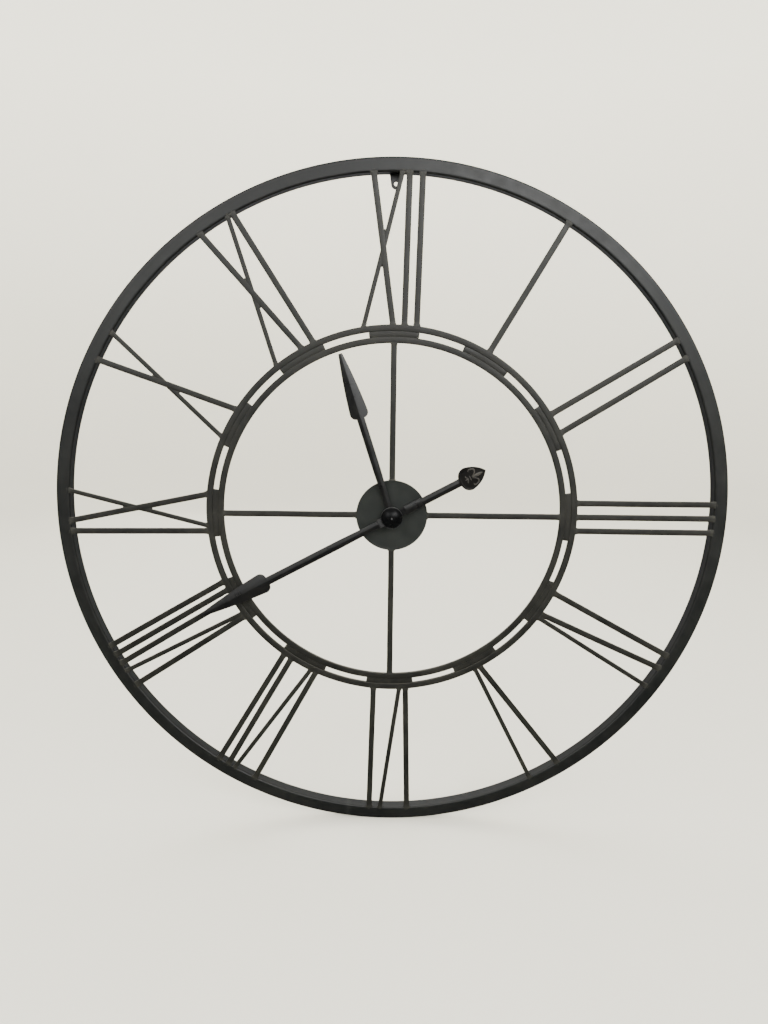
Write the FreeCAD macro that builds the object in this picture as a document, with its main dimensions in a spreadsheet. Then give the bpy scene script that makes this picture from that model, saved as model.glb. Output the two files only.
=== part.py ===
import FreeCAD, Part
import math
import os
import re
import Sketcher

# A one-metre open wall clock: a rolled tube ring, welded flat-bar numerals, a double inner hoop,
# four spokes, and a battery movement behind a round hub plate that drives two folded-sheet hands.
#
# Every piece is drawn in dial coordinates, in millimetres: x to the right, y towards 12 o'clock and
# z out of the wall towards the viewer, with z = 0 on the wall and the dial's centre at x = y = 0.
# upright() then stands each piece up, so that the row's X is x, its Z is y and its -Y is z, and puts
# the row's origin in the hanger hole, on the wall.

os.makedirs("parts", exist_ok=True)
doc = FreeCAD.newDocument("WallClock")
sheet = doc.addObject("Spreadsheet::Sheet", "Sizes")
V = FreeCAD.Vector

SIZES = [
    # the frame
    ("ring_outer_radius", 500, "outer edge of the rolled ring"),
    ("tube_side", 20, "square tube, so also the depth of the ring and the level of its front"),
    ("tube_wall", 1.5, "wall of the tube"),
    ("tube_corner", 3, "outside corner radius of the tube"),
    ("hang_radius", 468, "hanger hole above the dial's centre"),
    ("hanger_hole_radius", 3, "hole that hangs on the wall screw"),
    ("hanger_thickness", 3, "hanger tab"),
    ("hanger_top_width", 18, "hanger tab where it is welded to the ring"),
    ("hanger_end_radius", 7, "round lower end of the hanger tab"),
    ("bar_width", 8, "flat bar of the thick numeral strokes and the spokes"),
    ("thin_bar_width", 6, "flat bar of the thin strokes of V and X"),
    ("bar_thickness", 4, "front to back of every flat bar"),
    ("outer_hoop_radius", 276.5, "outer edge of the larger inner hoop"),
    ("inner_hoop_radius", 259.5, "outer edge of the smaller inner hoop"),
    ("hoop_width", 8.5, "radial width of both hoops"),
    ("hoop_depth", 5, "front to back of both hoops"),
    ("spacer_half_angle", 7.8, "half the arc of a spacer between the hoops, in degrees"),
    ("spacer_depth", 3, "front to back of a spacer"),
    ("spacer_recess", 1, "spacer's front behind the hoops' fronts"),
    ("spoke_root_radius", 44, "inner end of the spokes, behind the hub plate"),
    ("plate_radius", 53, "hub plate"),
    ("plate_thickness", 2, "hub plate"),
    ("plate_hole_radius", 4.1, "hole in the hub plate for the threaded bushing"),
    # the movement
    ("case_side", 56, "movement case, square"),
    ("case_front", 19, "level of the case's front face"),
    ("case_rim", 3.2, "level of the case's open back rim"),
    ("case_wall", 1.5, "walls of the case"),
    ("case_corner", 2.5, "rounded vertical edges of the case"),
    ("bay_ceiling", -11.4, "y of the battery bay's top wall, lower face"),
    ("room_floor", -10.5, "y of the same wall's upper face"),
    ("bay_floor", -26.5, "y of the battery bay's lower wall, upper face"),
    ("bushing_radius", 3.95, "threaded bushing of the case"),
    ("bushing_length", 7.2, "bushing in front of the case"),
    ("bushing_bore", 3.05, "bore of the bushing, 0.05 round the hour pipe"),
    ("cover_back", 2, "level of the back cover's outer face"),
    ("pin_radius", 0.45, "fixed wheel pins"),
    ("pin_bore", 0.5, "bores that run on them"),
    ("clutch_bore", 2.05, "centre wheel's bore, where its clutch slips on the minute arbor"),
    ("running_gap", 0.05, "play of a turning pin or shaft in its hole"),
    ("pin_spare", 0.3, "length of a wheel pin that shows beyond its wheel"),
    ("motion_module", 0.4, "gear module of the motion work"),
    ("centre_module", 0.3, "gear module of the centre wheel pair"),
    ("train_module", 0.25, "gear module of the fast train"),
    ("knob_module", 0.5, "gear module of the knob's milled grip"),
    ("cannon_back", 13.9, "level of the back of the cannon pinion and of the knob's pinion"),
    ("cannon_front", 15.5, "level of the front of the cannon pinion and of the knob's pinion"),
    ("minute_wheel_back", 14.1, "level of the minute wheel's back"),
    ("minute_wheel_front", 15.3, "level of the minute wheel's front, where its pinion starts"),
    ("hour_wheel_back", 15.9, "level of the hour wheel's back"),
    ("hour_wheel_front", 17.1, "level of the front of the hour wheel and of the minute pinion"),
    ("centre_back", 12.4, "level of the centre wheel's back, where the arbor narrows"),
    ("centre_wheel_front", 13.4, "level of the centre wheel's front"),
    ("third_back", 10.7, "level of the third wheel's back"),
    ("third_front", 11.7, "level of the third wheel's front, where its pinion starts"),
    ("third_pinion_front", 13.6, "level of the third pinion's front"),
    ("second_back", 9, "level of the second wheel's back"),
    ("second_front", 10, "level of the second wheel's front, where its pinion starts"),
    ("second_pinion_front", 11.9, "level of the second pinion's front"),
    ("step_back", 7.3, "level of the step wheel's back"),
    ("step_front", 8.3, "level of the step wheel's front, where its pinion starts"),
    ("step_pinion_front", 10.2, "level of the step pinion's front"),
    ("rotor_back", 4.6, "level of the rotor magnet's back"),
    ("magnet_front", 6.6, "level of the rotor magnet's front, where its pinion starts"),
    ("rotor_front", 8.6, "level of the rotor pinion's front"),
    ("magnet_radius", 3, "rotor magnet"),
    ("stator_hole_radius", 3.4, "hole of the stator plate round the rotor magnet"),
    ("stator_back", 5.1, "level of the stator plate's back, on the coil core"),
    ("stator_thickness", 1, "stator plate"),
    ("bearing_radius", 2.6, "boss of the back cover that carries the arbor's pivot"),
    ("bearing_front", 10.3, "level of that boss's front"),
    ("board_stub_radius", 1.2, "stubs of the back cover that carry the circuit board"),
    ("board_back", 5.8, "level of the circuit board's back"),
    ("board_front", 6.6, "level of the circuit board's front"),
    ("chip_radius", 2.5, "resin blob over the clock chip"),
    ("chip_front", 7.8, "level of the blob's front"),
    ("crystal_radius", 1, "quartz crystal's can"),
    ("crystal_length", 6, "quartz crystal's can"),
    ("hour_pipe_radius", 3, "hour pipe, outside"),
    ("hour_pipe_bore", 2.05, "hour pipe, inside, 0.05 round the minute arbor"),
    ("hour_pipe_front", 31, "level of the hour pipe's front end"),
    ("arbor_radius", 2, "minute arbor"),
    ("arbor_tail_radius", 1.4, "minute arbor behind the centre wheel"),
    ("arbor_pivot_radius", 1.2, "rear pivot of the minute arbor"),
    ("arbor_front", 37.5, "level of the arbor's shoulder, in front of the minute hand"),
    ("arbor_thread_radius", 1.5, "threaded tip of the arbor"),
    ("arbor_thread_length", 5.5, "threaded tip of the arbor"),
    ("arbor_tail_back", 10.5, "level where the arbor's tail meets its pivot"),
    ("arbor_back", 8, "level of the arbor's rear end"),
    ("battery_radius", 7.1, "AA cell"),
    ("battery_level", 10, "level of the cell's axis"),
    ("battery_height", -19, "y of the cell's axis"),
    ("cell_left", -25.2, "x of the cell's flat end"),
    ("cell_shoulder", 24, "x of the cell's other end, where its button starts"),
    ("button_radius", 2.7, "button of the cell"),
    ("button_right", 25.3, "x of the button's face"),
    ("spring_left", -26, "x of the spring's wide end, on its plate"),
    ("spring_radius", 4, "wide end of the battery spring"),
    ("spring_tip_radius", 2.5, "narrow end of the battery spring"),
    ("spring_length", 0.5, "battery spring, pressed"),
    ("knob_shaft_radius", 1.5, "hand-setting shaft"),
    ("knob_back", 0.3, "level of the knob's outer face"),
    ("knob_front", 1.7, "level of the knob's face at the cover"),
    ("washer_radius", 9, "rubber washer between case and hub plate"),
    ("brass_radius", 8, "brass washer under the nut"),
    ("brass_thickness", 0.6, "brass washer under the nut"),
    ("nut_flats", 12, "across the flats of the hex nut"),
    ("nut_height", 2.8, "hex nut"),
    # the hands
    ("sheet_thickness", 1, "folded sheet of the hands"),
    ("fold_slope", 0.24, "drop of the folded sheet per millimetre from its ridge"),
    ("hour_ridge", 32.5, "level of the hour hand's ridge"),
    ("hour_length", 247, "hour hand, centre to tip"),
    ("hour_spade_root", 151, "hour hand, where the spade starts"),
    ("hour_spade_widest", 161, "hour hand, where the spade is widest"),
    ("hour_spade_half", 13.3, "half the widest width of the hour spade"),
    ("hour_arm_half", 5.7, "half the width of the hour arm"),
    ("hour_neck_half", 4, "half the width of the hour arm at the hub"),
    ("hour_tip_half", 2.8, "half the width of the blunt hour tip"),
    ("hour_near", 8, "hour hand, where its fold starts, from the centre"),
    ("hour_shoulder", 70, "hour hand, where the arm reaches its full width"),
    ("hour_eye_radius", 8.5, "round eye of the hour hand"),
    ("hour_collet_radius", 5.5, "collet behind the hour hand"),
    ("hour_collet_back", 27, "level of the collet's back"),
    ("minute_ridge", 38.5, "level of the minute hand's ridge"),
    ("minute_length", 323, "minute hand, centre to tip"),
    ("minute_spade_root", 209, "minute hand, where the spade starts"),
    ("minute_spade_widest", 221, "minute hand, where the spade is widest"),
    ("minute_spade_half", 15.2, "half the widest width of the minute spade"),
    ("minute_arm_half", 6.2, "half the width of the minute arm"),
    ("minute_neck_half", 5, "half the width of the minute arm at the hub"),
    ("minute_tip_half", 2.7, "half the width of the blunt minute tip"),
    ("minute_near", 24, "minute hand, where its fold starts, from the centre"),
    ("minute_shoulder", 90, "minute hand, where the arm reaches its full width"),
    ("minute_eye_radius", 9, "round eye of the minute hand"),
    ("minute_collar_radius", 4.5, "collar behind the minute hand"),
    ("minute_collar_back", 31.6, "level of the collar's back"),
    ("minute_stub", 40, "stub of the minute hand behind the hub"),
    ("tail_half", 5.8, "half the width of the tail arm"),
    ("tail_start", 41, "inner end of the tail arm, inside the sleeve"),
    ("tail_end", 118, "outer end of the tail arm, under the leaf"),
    ("sleeve_half", 6.6, "half the width of the sleeve on the stub"),
    ("sleeve_near", 23, "end of the sleeve nearer the centre"),
    ("sleeve_far", 50, "end of the sleeve farther from the centre"),
    ("sleeve_behind", 2.2, "sleeve behind the stub"),
    ("sleeve_ahead", 2, "sleeve in front of the stub"),
    ("leaf_root", 112, "counterweight leaf, nearest the centre"),
    ("leaf_widest", 125, "counterweight leaf, where it is widest"),
    ("leaf_half", 17.3, "half the width of the leaf"),
    ("leaf_tip", 153, "counterweight leaf, farthest from the centre"),
    ("leaf_thickness", 4, "counterweight leaf"),
    ("cap_radius", 16, "cap nut"),
    ("cap_back", 37.5, "level of the cap nut's back face"),
    ("cap_side", 3.5, "height of the cap nut's side"),
    ("cap_dome", 7, "height of the cap nut's dome"),
    ("cap_thread_depth", 6, "threaded hole of the cap nut"),
]

for row, (alias, number, note) in enumerate(SIZES, start=1):
    sheet.set("A%d" % row, alias.replace("_", " "))
    sheet.set("B%d" % row, str(number))
    sheet.setAlias("B%d" % row, alias)
    sheet.set("C%d" % row, note)
doc.recompute()

SUB_PARTS = []
ALIASES = {alias for alias, number, note in SIZES}
HOURS = range(1, 13)
HOUR_REST = 342.0        # degrees clockwise from 12 at rest
MINUTE_REST = 241.7      # degrees clockwise from 12 at rest
WIDE = "bar_width"
THIN = "thin_bar_width"

# Strokes of each numeral, drawn upright with their feet to the centre: the bar's width, then its
# offset from the hour line at the ring and at the larger hoop, in millimetres.
STROKES = {
    1: [(WIDE, 0, -1)],
    2: [(WIDE, -22, -17), (WIDE, 7, 14)],
    3: [(WIDE, -21.5, -21), (WIDE, 0, 0), (WIDE, 21.5, 21)],
    4: [(WIDE, -27, -22), (WIDE, -4, 16), (THIN, 30.5, 23)],
    5: [(WIDE, -34, -2.5), (THIN, 16.5, 6)],
    6: [(WIDE, -30.5, -25), (THIN, 12.5, -15), (WIDE, 30, 25)],
    7: [(WIDE, -31, -26), (THIN, 5, -17), (WIDE, 17, 18), (WIDE, 34, 31)],
    8: [(WIDE, -40, -28), (THIN, -13.5, -22), (WIDE, 1, 7), (WIDE, 17, 21), (WIDE, 33, 35)],
    9: [(WIDE, -30, -27.5), (WIDE, -14, 28), (THIN, 32, -19)],
    10: [(WIDE, -20, 19), (THIN, 24, -26)],
    11: [(WIDE, -38, 6), (THIN, 7.5, -37), (WIDE, 15.5, 25)],
    12: [(WIDE, -31, -2), (THIN, 8.5, -43), (WIDE, 18.5, 14.5), (WIDE, 36.5, 32)],
}

# Tooth counts, and the direction from each axis to the next, in degrees anticlockwise from 3 o'clock.
CANNON_TEETH, MINUTE_WHEEL_TEETH, MINUTE_PINION_TEETH, HOUR_WHEEL_TEETH = 15, 45, 12, 48
KNOB_TEETH = 15
CENTRE_TEETH, THIRD_PINION_TEETH, THIRD_TEETH = 60, 8, 64
SECOND_PINION_TEETH, SECOND_TEETH = 8, 60
STEP_PINION_TEETH, STEP_TEETH, ROTOR_TEETH = 10, 50, 10
TO_MINUTE_WHEEL, MINUTE_WHEEL_TO_KNOB = 20.0, -35.0
TO_THIRD, THIRD_TO_SECOND, SECOND_TO_STEP, STEP_TO_ROTOR = 150.0, 85.0, 5.0, -10.0
GRIP_TEETH = 24

# Profile of a tooth, in modules: how far the blank, the tooth's root and its tip are from the pitch
# circle, and half the tooth's width at root and tip.
BLANK_IN, ROOT_IN, TIP_OUT, ROOT_HALF, TIP_HALF = 1.15, 1.35, 0.8, 0.72, 0.26

# Radii of the arcs that bound the hands' spades and the leaf, as shares of their own lengths.
CHEEK_SHARE, TAPER_SHARE, LEAF_ROOT_SHARE, LEAF_SIDE_SHARE = 0.85, 3.4, 0.78, 2.3

# Levels behind and in front of both hands, between which their flat outlines are cut.
BEHIND_HANDS, BEFORE_HANDS = "20", "50"

# Square pieces of the motor and of the battery contacts: left, right, low, high, back and front.
CORE = (2.5, 25, 21.5, 23.5, 4.3, 5.1)
BOBBIN_TUBE = (7, 21, 20.9, 24.1, 3.9, 5.5)
BOBBIN_FLANGES = [(7, 8, 19.6, 25.4, 3.4, 6), (20, 21, 19.6, 25.4, 3.4, 6)]
WINDING = (8, 20, 19.9, 25.1, 3.5, 5.9)
BOARD = (4, 19, -10, 8.5, "board_back", "board_front")
PLUS_CONTACT = (26, 26.5, -23, -15, 5, 15)
MINUS_CONTACT = (-26.5, "spring_left", -24, -14, 5, 15)

# Corners of the stator plate, and the places of the board's stubs, the chip and the crystal.
STATOR_CORNERS = [(2.5, 9), (25, 9), (25, 25), (21.5, 25), (21.5, 18), (6, 18), (6, 25), (2.5, 25)]
BOARD_STUBS = [(6, -8), (17, 6)]
CHIP_AT = (10, -2)
CRYSTAL_AT = (15.5, -5, 7.6)


def named(expression):
    """An expression in plain aliases, with each alias read from the sheet."""
    def from_sheet(word):
        return "Sizes." + word.group() if word.group() in ALIASES else word.group()
    return re.sub(r"[a-z_]+", from_sheet, str(expression))


def bind(thing, path, expression):
    """Bind a property to an expression of the sheet's aliases."""
    thing.setExpression(path, named(expression))


def value(expression):
    """The number that an expression of aliases has now."""
    return float(sheet.evalExpression(named(expression)))


def upright(piece, label, turn=0.0, x=0.0, y=0.0):
    """Name a sub-part and stand it up; turn is anticlockwise, about its own point x, y of the dial."""
    if piece.TypeId in ("Part::Box", "Part::Cylinder"):
        holder = doc.addObject("Part::Compound", piece.Name + "_placed")
        holder.Links = [piece]
        piece = holder
    piece.Label = label
    SUB_PARTS.append(piece)
    stand = FreeCAD.Rotation(V(1, 0, 0), 90)
    spin = FreeCAD.Rotation(V(0, 0, 1), turn)
    piece.Placement = FreeCAD.Placement(V(x, 0, 0), stand.multiply(spin))
    bind(piece, "Placement.Base.z", "%.6f - hang_radius" % y)
    return piece


# ---- plain solids, in dial coordinates -------------------------------------------------------

def cylinder(name, radius, back, front, x=0, y=0):
    """A cylinder along z, from level back to level front."""
    solid = doc.addObject("Part::Cylinder", name)
    bind(solid, "Radius", radius)
    bind(solid, "Height", "( %s ) - ( %s )" % (front, back))
    bind(solid, "Placement.Base.x", x)
    bind(solid, "Placement.Base.y", y)
    bind(solid, "Placement.Base.z", back)
    return solid


def block(name, left, right, low, high, back, front):
    """A box between two values of x, of y and of z."""
    solid = doc.addObject("Part::Box", name)
    for prop, start, end, axis in (("Length", left, right, "x"), ("Width", low, high, "y"),
                                   ("Height", back, front, "z")):
        bind(solid, prop, "( %s ) - ( %s )" % (end, start))
        bind(solid, "Placement.Base." + axis, start)
    return solid


def lying_cylinder(name, radius, left, right, y, level):
    """A cylinder along x."""
    solid = doc.addObject("Part::Cylinder", name)
    solid.Placement = FreeCAD.Placement(V(0, 0, 0), FreeCAD.Rotation(V(0, 1, 0), 90))
    bind(solid, "Radius", radius)
    bind(solid, "Height", "( %s ) - ( %s )" % (right, left))
    bind(solid, "Placement.Base.x", left)
    bind(solid, "Placement.Base.y", y)
    bind(solid, "Placement.Base.z", level)
    return solid


def cut(name, base, tool):
    result = doc.addObject("Part::Cut", name)
    result.Base = base
    result.Tool = tool
    return result


def fuse(name, pieces):
    result = doc.addObject("Part::MultiFuse", name)
    result.Shapes = pieces
    result.Refine = True
    return result


def common(name, first, second):
    result = doc.addObject("Part::MultiCommon", name)
    result.Shapes = [first, second]
    return result


def tube(name, outside, inside, back, front, x=0, y=0):
    """A cylinder with a bore right through it."""
    wall = cylinder(name + "_outside", outside, back, front, x, y)
    bore = cylinder(name + "_bore", inside, "( %s ) - 1" % back, "( %s ) + 1" % front, x, y)
    return cut(name, wall, bore)


# ---- sketched bodies, in dial coordinates -------------------------------------------------------

def new_body(name):
    return doc.addObject("PartDesign::Body", name)


def new_sketch(body, name, level, role="XY_Plane"):
    """A sketch at a level in front of the wall, or on another origin plane of its body."""
    sketch = body.newObject("Sketcher::SketchObject", name)
    plane = [datum for datum in body.Origin.OriginFeatures if datum.Role == role][0]
    sketch.AttachmentSupport = (plane, "")
    sketch.MapMode = "FlatFace"
    bind(sketch, "AttachmentOffset.Base.z", level)
    return sketch


def hold(sketch, kind, names, expression):
    """A dimension of a sketch, bound to the sheet."""
    index = sketch.addConstraint(Sketcher.Constraint(kind, *names, value(expression)))
    bind(sketch, "Constraints[%d]" % index, expression)


def hold_point(sketch, geometry, end, x, y):
    hold(sketch, "DistanceX", (-1, 1, geometry, end), x)
    hold(sketch, "DistanceY", (-1, 1, geometry, end), y)


def circle(sketch, radius, x=0, y=0):
    centre = V(value(x), value(y), 0)
    index = sketch.addGeometry(Part.Circle(centre, V(0, 0, 1), value(radius)), False)
    hold_point(sketch, index, 3, x, y)
    hold(sketch, "Radius", (index,), radius)


def bulging_arc(start, end, radius):
    """The shorter arc between two points; a positive radius bulges to the left of the way along."""
    way = end - start
    left = V(-way.y, way.x, 0).normalize()
    size = abs(radius)
    side = 1 if radius > 0 else -1
    sagitta = size - math.sqrt(size ** 2 - (way.Length / 2) ** 2)
    middle = (start + end) * 0.5 + left * (side * sagitta)
    return Part.Arc(start, middle, end)


def outline(sketch, corners):
    """A closed outline: each corner is x, y and the radius of the arc to the next, or 0 for a line."""
    places = [V(value(x), value(y), 0) for x, y, radius in corners]
    ends = []
    for (x, y, radius), start, end in zip(corners, places, places[1:] + places[:1]):
        if radius == 0:
            index = sketch.addGeometry(Part.LineSegment(start, end), False)
            first = 1
        else:
            index = sketch.addGeometry(bulging_arc(start, end, value(radius)), False)
            first = 1 if (sketch.getPoint(index, 1) - start).Length < 1e-6 else 2
            hold(sketch, "Radius", (index,), "abs(%s)" % radius)
        hold_point(sketch, index, first, x, y)
        ends.append((index, first, 3 - first))
    for (index, first, last), (after, after_first, after_last) in zip(ends, ends[1:] + ends[:1]):
        sketch.addConstraint(Sketcher.Constraint("Coincident", index, last, after, after_first))


def rectangle(sketch, left, right, low, high):
    outline(sketch, [(left, low, 0), (right, low, 0), (right, high, 0), (left, high, 0)])


def pad(body, sketch, length):
    """Grow a sketch towards the viewer."""
    feature = body.newObject("PartDesign::Pad", sketch.Name + "_pad")
    feature.Profile = sketch
    bind(feature, "Length", length)
    sketch.Visibility = False
    return feature


def pocket(body, sketch, length):
    """Cut a sketch's shape from its level back towards the wall."""
    feature = body.newObject("PartDesign::Pocket", sketch.Name + "_pocket")
    feature.Profile = sketch
    bind(feature, "Length", length)
    doc.recompute()
    before = feature.BaseFeature.Shape.Volume
    if feature.Shape.Volume > before - 1e-6:
        raise RuntimeError("%s cuts nothing" % feature.Name)
    return feature


def revolve(body, sketch, reference, angle=360):
    feature = body.newObject("PartDesign::Revolution", sketch.Name + "_turned")
    feature.Profile = sketch
    feature.ReferenceAxis = (sketch, [reference])
    bind(feature, "Angle", angle)
    return feature


# ---- the welded frame -------------------------------------------------------------------------

def rounded_square(sketch, left, right, low, high, corner):
    """A square outline with round corners, for the tube's section."""
    turn = "- ( %s )" % corner
    near_left, near_right = "%s + %s" % (left, corner), "%s - ( %s )" % (right, corner)
    near_low, near_high = "%s + %s" % (low, corner), "%s - ( %s )" % (high, corner)
    outline(sketch, [
        (near_left, low, 0), (near_right, low, turn),
        (right, near_low, 0), (right, near_high, turn),
        (near_right, high, 0), (near_left, high, turn),
        (left, near_high, 0), (left, near_low, turn),
    ])


def outer_ring():
    """A square tube rolled into a ring, hollow as the tube is."""
    body = new_body("ring_tube")
    section = new_sketch(body, "ring_section", 0, "XZ_Plane")
    inside = "ring_outer_radius - tube_side"
    rounded_square(section, inside, "ring_outer_radius", "0", "tube_side", "tube_corner")
    rounded_square(section, inside + " + tube_wall", "ring_outer_radius - tube_wall", "tube_wall",
                   "tube_side - tube_wall", "tube_corner - tube_wall")
    revolve(body, section, "V_Axis")
    upright(body, "outer_ring")


def hoop(label, radius):
    """One of the two inner hoops, a flat bar rolled on edge, its front level with the ring's."""
    body = new_body(label + "_bar")
    section = new_sketch(body, label + "_section", 0, "XZ_Plane")
    rectangle(section, radius + " - hoop_width", radius, "tube_side - hoop_depth", "tube_side")
    revolve(body, section, "V_Axis")
    upright(body, label)


def hoop_spacers():
    """Twelve short arcs between the two hoops, one at each hour, set a little behind their fronts."""
    arcs = []
    for hour in HOURS:
        body = new_body("spacer_%02d" % hour)
        section = new_sketch(body, "spacer_section_%02d" % hour, 0, "XZ_Plane")
        rectangle(section, "inner_hoop_radius", "outer_hoop_radius - hoop_width",
                  "tube_side - spacer_recess - spacer_depth", "tube_side - spacer_recess")
        revolve(body, section, "V_Axis", "2 * spacer_half_angle")
        spin = 90.0 - 30.0 * hour - value("spacer_half_angle")
        body.Placement = FreeCAD.Placement(V(0, 0, 0), FreeCAD.Rotation(V(0, 0, 1), spin))
        arcs.append(body)
    group = doc.addObject("Part::Compound", "spacer_group")
    group.Links = arcs
    upright(group, "hoop_spacers")


def welded_bar(name, width, outer_offset, inner_offset, outer_radius, inner_radius):
    """A flat bar drawn at 12 o'clock between two radii; it runs past both, to be trimmed there."""
    bar = doc.addObject("Part::Box", name)
    run = value(outer_radius) - value(inner_radius)
    lean = math.atan2(outer_offset - inner_offset, run)
    spare = 4.0
    bind(bar, "Length", width)
    bar.Width = run / math.cos(lean) + 2 * spare
    bind(bar, "Height", "bar_thickness")
    spin = FreeCAD.Rotation(V(0, 0, 1), -math.degrees(lean))
    foot = V(inner_offset, value(inner_radius), value("tube_side - bar_thickness"))
    corner = spin.multVec(V(-value(width) / 2, -spare, 0))
    bar.Placement = FreeCAD.Placement(foot + corner, spin)
    return bar


def numeral(hour, zone):
    """The bars of one numeral, joined where they cross, trimmed to the ring and the larger hoop."""
    bars = []
    for count, (width, outer_offset, inner_offset) in enumerate(STROKES[hour], start=1):
        name = "numeral_%02d_bar_%d" % (hour, count)
        bars.append(welded_bar(name, width, outer_offset, inner_offset,
                               "ring_outer_radius - tube_side", "outer_hoop_radius"))
    strokes = fuse("numeral_%02d_strokes" % hour, bars) if len(bars) > 1 else bars[0]
    trimmed = common("numeral_%02d_trimmed" % hour, strokes, zone)
    upright(trimmed, "numeral_%02d" % hour, turn=-30.0 * hour)


def spokes(zone):
    """Four flat bars from the smaller hoop to behind the hub plate."""
    for side, turn in (("top", 0), ("left", 90), ("bottom", 180), ("right", 270)):
        bar = welded_bar("spoke_%s_bar" % side, "bar_width", 0, 0,
                         "inner_hoop_radius - hoop_width", "spoke_root_radius")
        trimmed = common("spoke_%s_trimmed" % side, bar, zone)
        upright(trimmed, "spoke_" + side, turn=turn)


def hub_plate():
    body = new_body("hub_disc")
    face = new_sketch(body, "hub_face", "tube_side")
    circle(face, "plate_radius")
    circle(face, "plate_hole_radius")
    pad(body, face, "plate_thickness")
    upright(body, "hub_plate")


def hanger_tab(zone):
    """A tab welded inside the ring at 12 o'clock, flush with its back, with the hanging hole."""
    body = new_body("hanger_plate")
    face = new_sketch(body, "hanger_face", "0")
    half = "hanger_top_width / 2"
    outline(face, [
        ("hanger_end_radius", "hang_radius", 0),
        (half, "ring_outer_radius - tube_side + 1", 0),
        ("0 - " + half, "ring_outer_radius - tube_side + 1", 0),
        ("0 - hanger_end_radius", "hang_radius", "- hanger_end_radius * 1.0001"),
    ])
    circle(face, "hanger_hole_radius", "0", "hang_radius")
    pad(body, face, "hanger_thickness")
    upright(common("hanger_trimmed", body, zone), "hanger_tab")


def frame():
    outer_ring()
    hoop("outer_hoop", "outer_hoop_radius")
    hoop("inner_hoop", "inner_hoop_radius")
    hoop_spacers()
    numeral_zone = tube("numeral_zone", "ring_outer_radius - tube_side", "outer_hoop_radius",
                        "0", "tube_side")
    for hour in HOURS:
        numeral(hour, numeral_zone)
    spokes(tube("spoke_zone", "inner_hoop_radius - hoop_width", "spoke_root_radius",
                "0", "tube_side"))
    hub_plate()
    hanger_tab(cylinder("hanger_zone", "ring_outer_radius - tube_side", "0", "tube_side"))


# ---- gears ------------------------------------------------------------------------------------

def toothed_wheel(name, teeth, module, bore, back, front, phase):
    """A spur wheel with straight-flanked teeth; phase is the direction of one tooth, in degrees."""
    pitch = teeth / 2.0
    body = new_body(name)
    blank = new_sketch(body, name + "_blank", back)
    circle(blank, "%g * %s" % (pitch - BLANK_IN, module))
    pad(body, blank, "( %s ) - ( %s )" % (front, back))
    tooth = new_sketch(body, name + "_tooth", back)
    root = "%g * %s" % (pitch - ROOT_IN, module)
    tip = "%g * %s" % (pitch + TIP_OUT, module)
    root_edge, tip_edge = "%g * %s" % (ROOT_HALF, module), "%g * %s" % (TIP_HALF, module)
    outline(tooth, [
        (root, "0 - " + root_edge, 0), (tip, "0 - " + tip_edge, 0),
        (tip, tip_edge, 0), (root, root_edge, 0),
    ])
    first = pad(body, tooth, "( %s ) - ( %s )" % (front, back))
    pattern = body.newObject("PartDesign::PolarPattern", name + "_teeth")
    pattern.Originals = [first]
    pattern.Axis = (blank, ["N_Axis"])
    pattern.Angle = 360
    pattern.Occurrences = teeth
    body.Tip = pattern
    if bore:
        hole = new_sketch(body, name + "_hole", front)
        circle(hole, bore)
        pocket(body, hole, "( %s ) - ( %s )" % (front, back))
    body.Placement = FreeCAD.Placement(V(0, 0, 0), FreeCAD.Rotation(V(0, 0, 1), phase))
    return body


def in_mesh(phase, teeth, other_teeth, direction):
    """Phase of a wheel whose gap meets the tooth that another wheel has nearest a direction."""
    offset = phase - direction
    return direction + 180.0 + 180.0 / other_teeth - offset * teeth / other_teeth


def step(start, distance, direction):
    """The point at a distance and direction from another, on the dial."""
    angle = math.radians(direction)
    return (start[0] + distance * math.cos(angle), start[1] + distance * math.sin(angle))


def centre_distance(module, teeth, other_teeth):
    return value(module) * (teeth + other_teeth) / 2.0


MINUTE_WHEEL_AT = step((0, 0), centre_distance("motion_module", CANNON_TEETH, MINUTE_WHEEL_TEETH),
                       TO_MINUTE_WHEEL)
KNOB_AT = step(MINUTE_WHEEL_AT, centre_distance("motion_module", MINUTE_WHEEL_TEETH, KNOB_TEETH),
               MINUTE_WHEEL_TO_KNOB)
THIRD_AT = step((0, 0), centre_distance("centre_module", CENTRE_TEETH, THIRD_PINION_TEETH), TO_THIRD)
SECOND_AT = step(THIRD_AT, centre_distance("train_module", THIRD_TEETH, SECOND_PINION_TEETH),
                 THIRD_TO_SECOND)
STEP_AT = step(SECOND_AT, centre_distance("train_module", SECOND_TEETH, STEP_PINION_TEETH),
               SECOND_TO_STEP)
ROTOR_AT = step(STEP_AT, centre_distance("train_module", STEP_TEETH, ROTOR_TEETH), STEP_TO_ROTOR)


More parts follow.
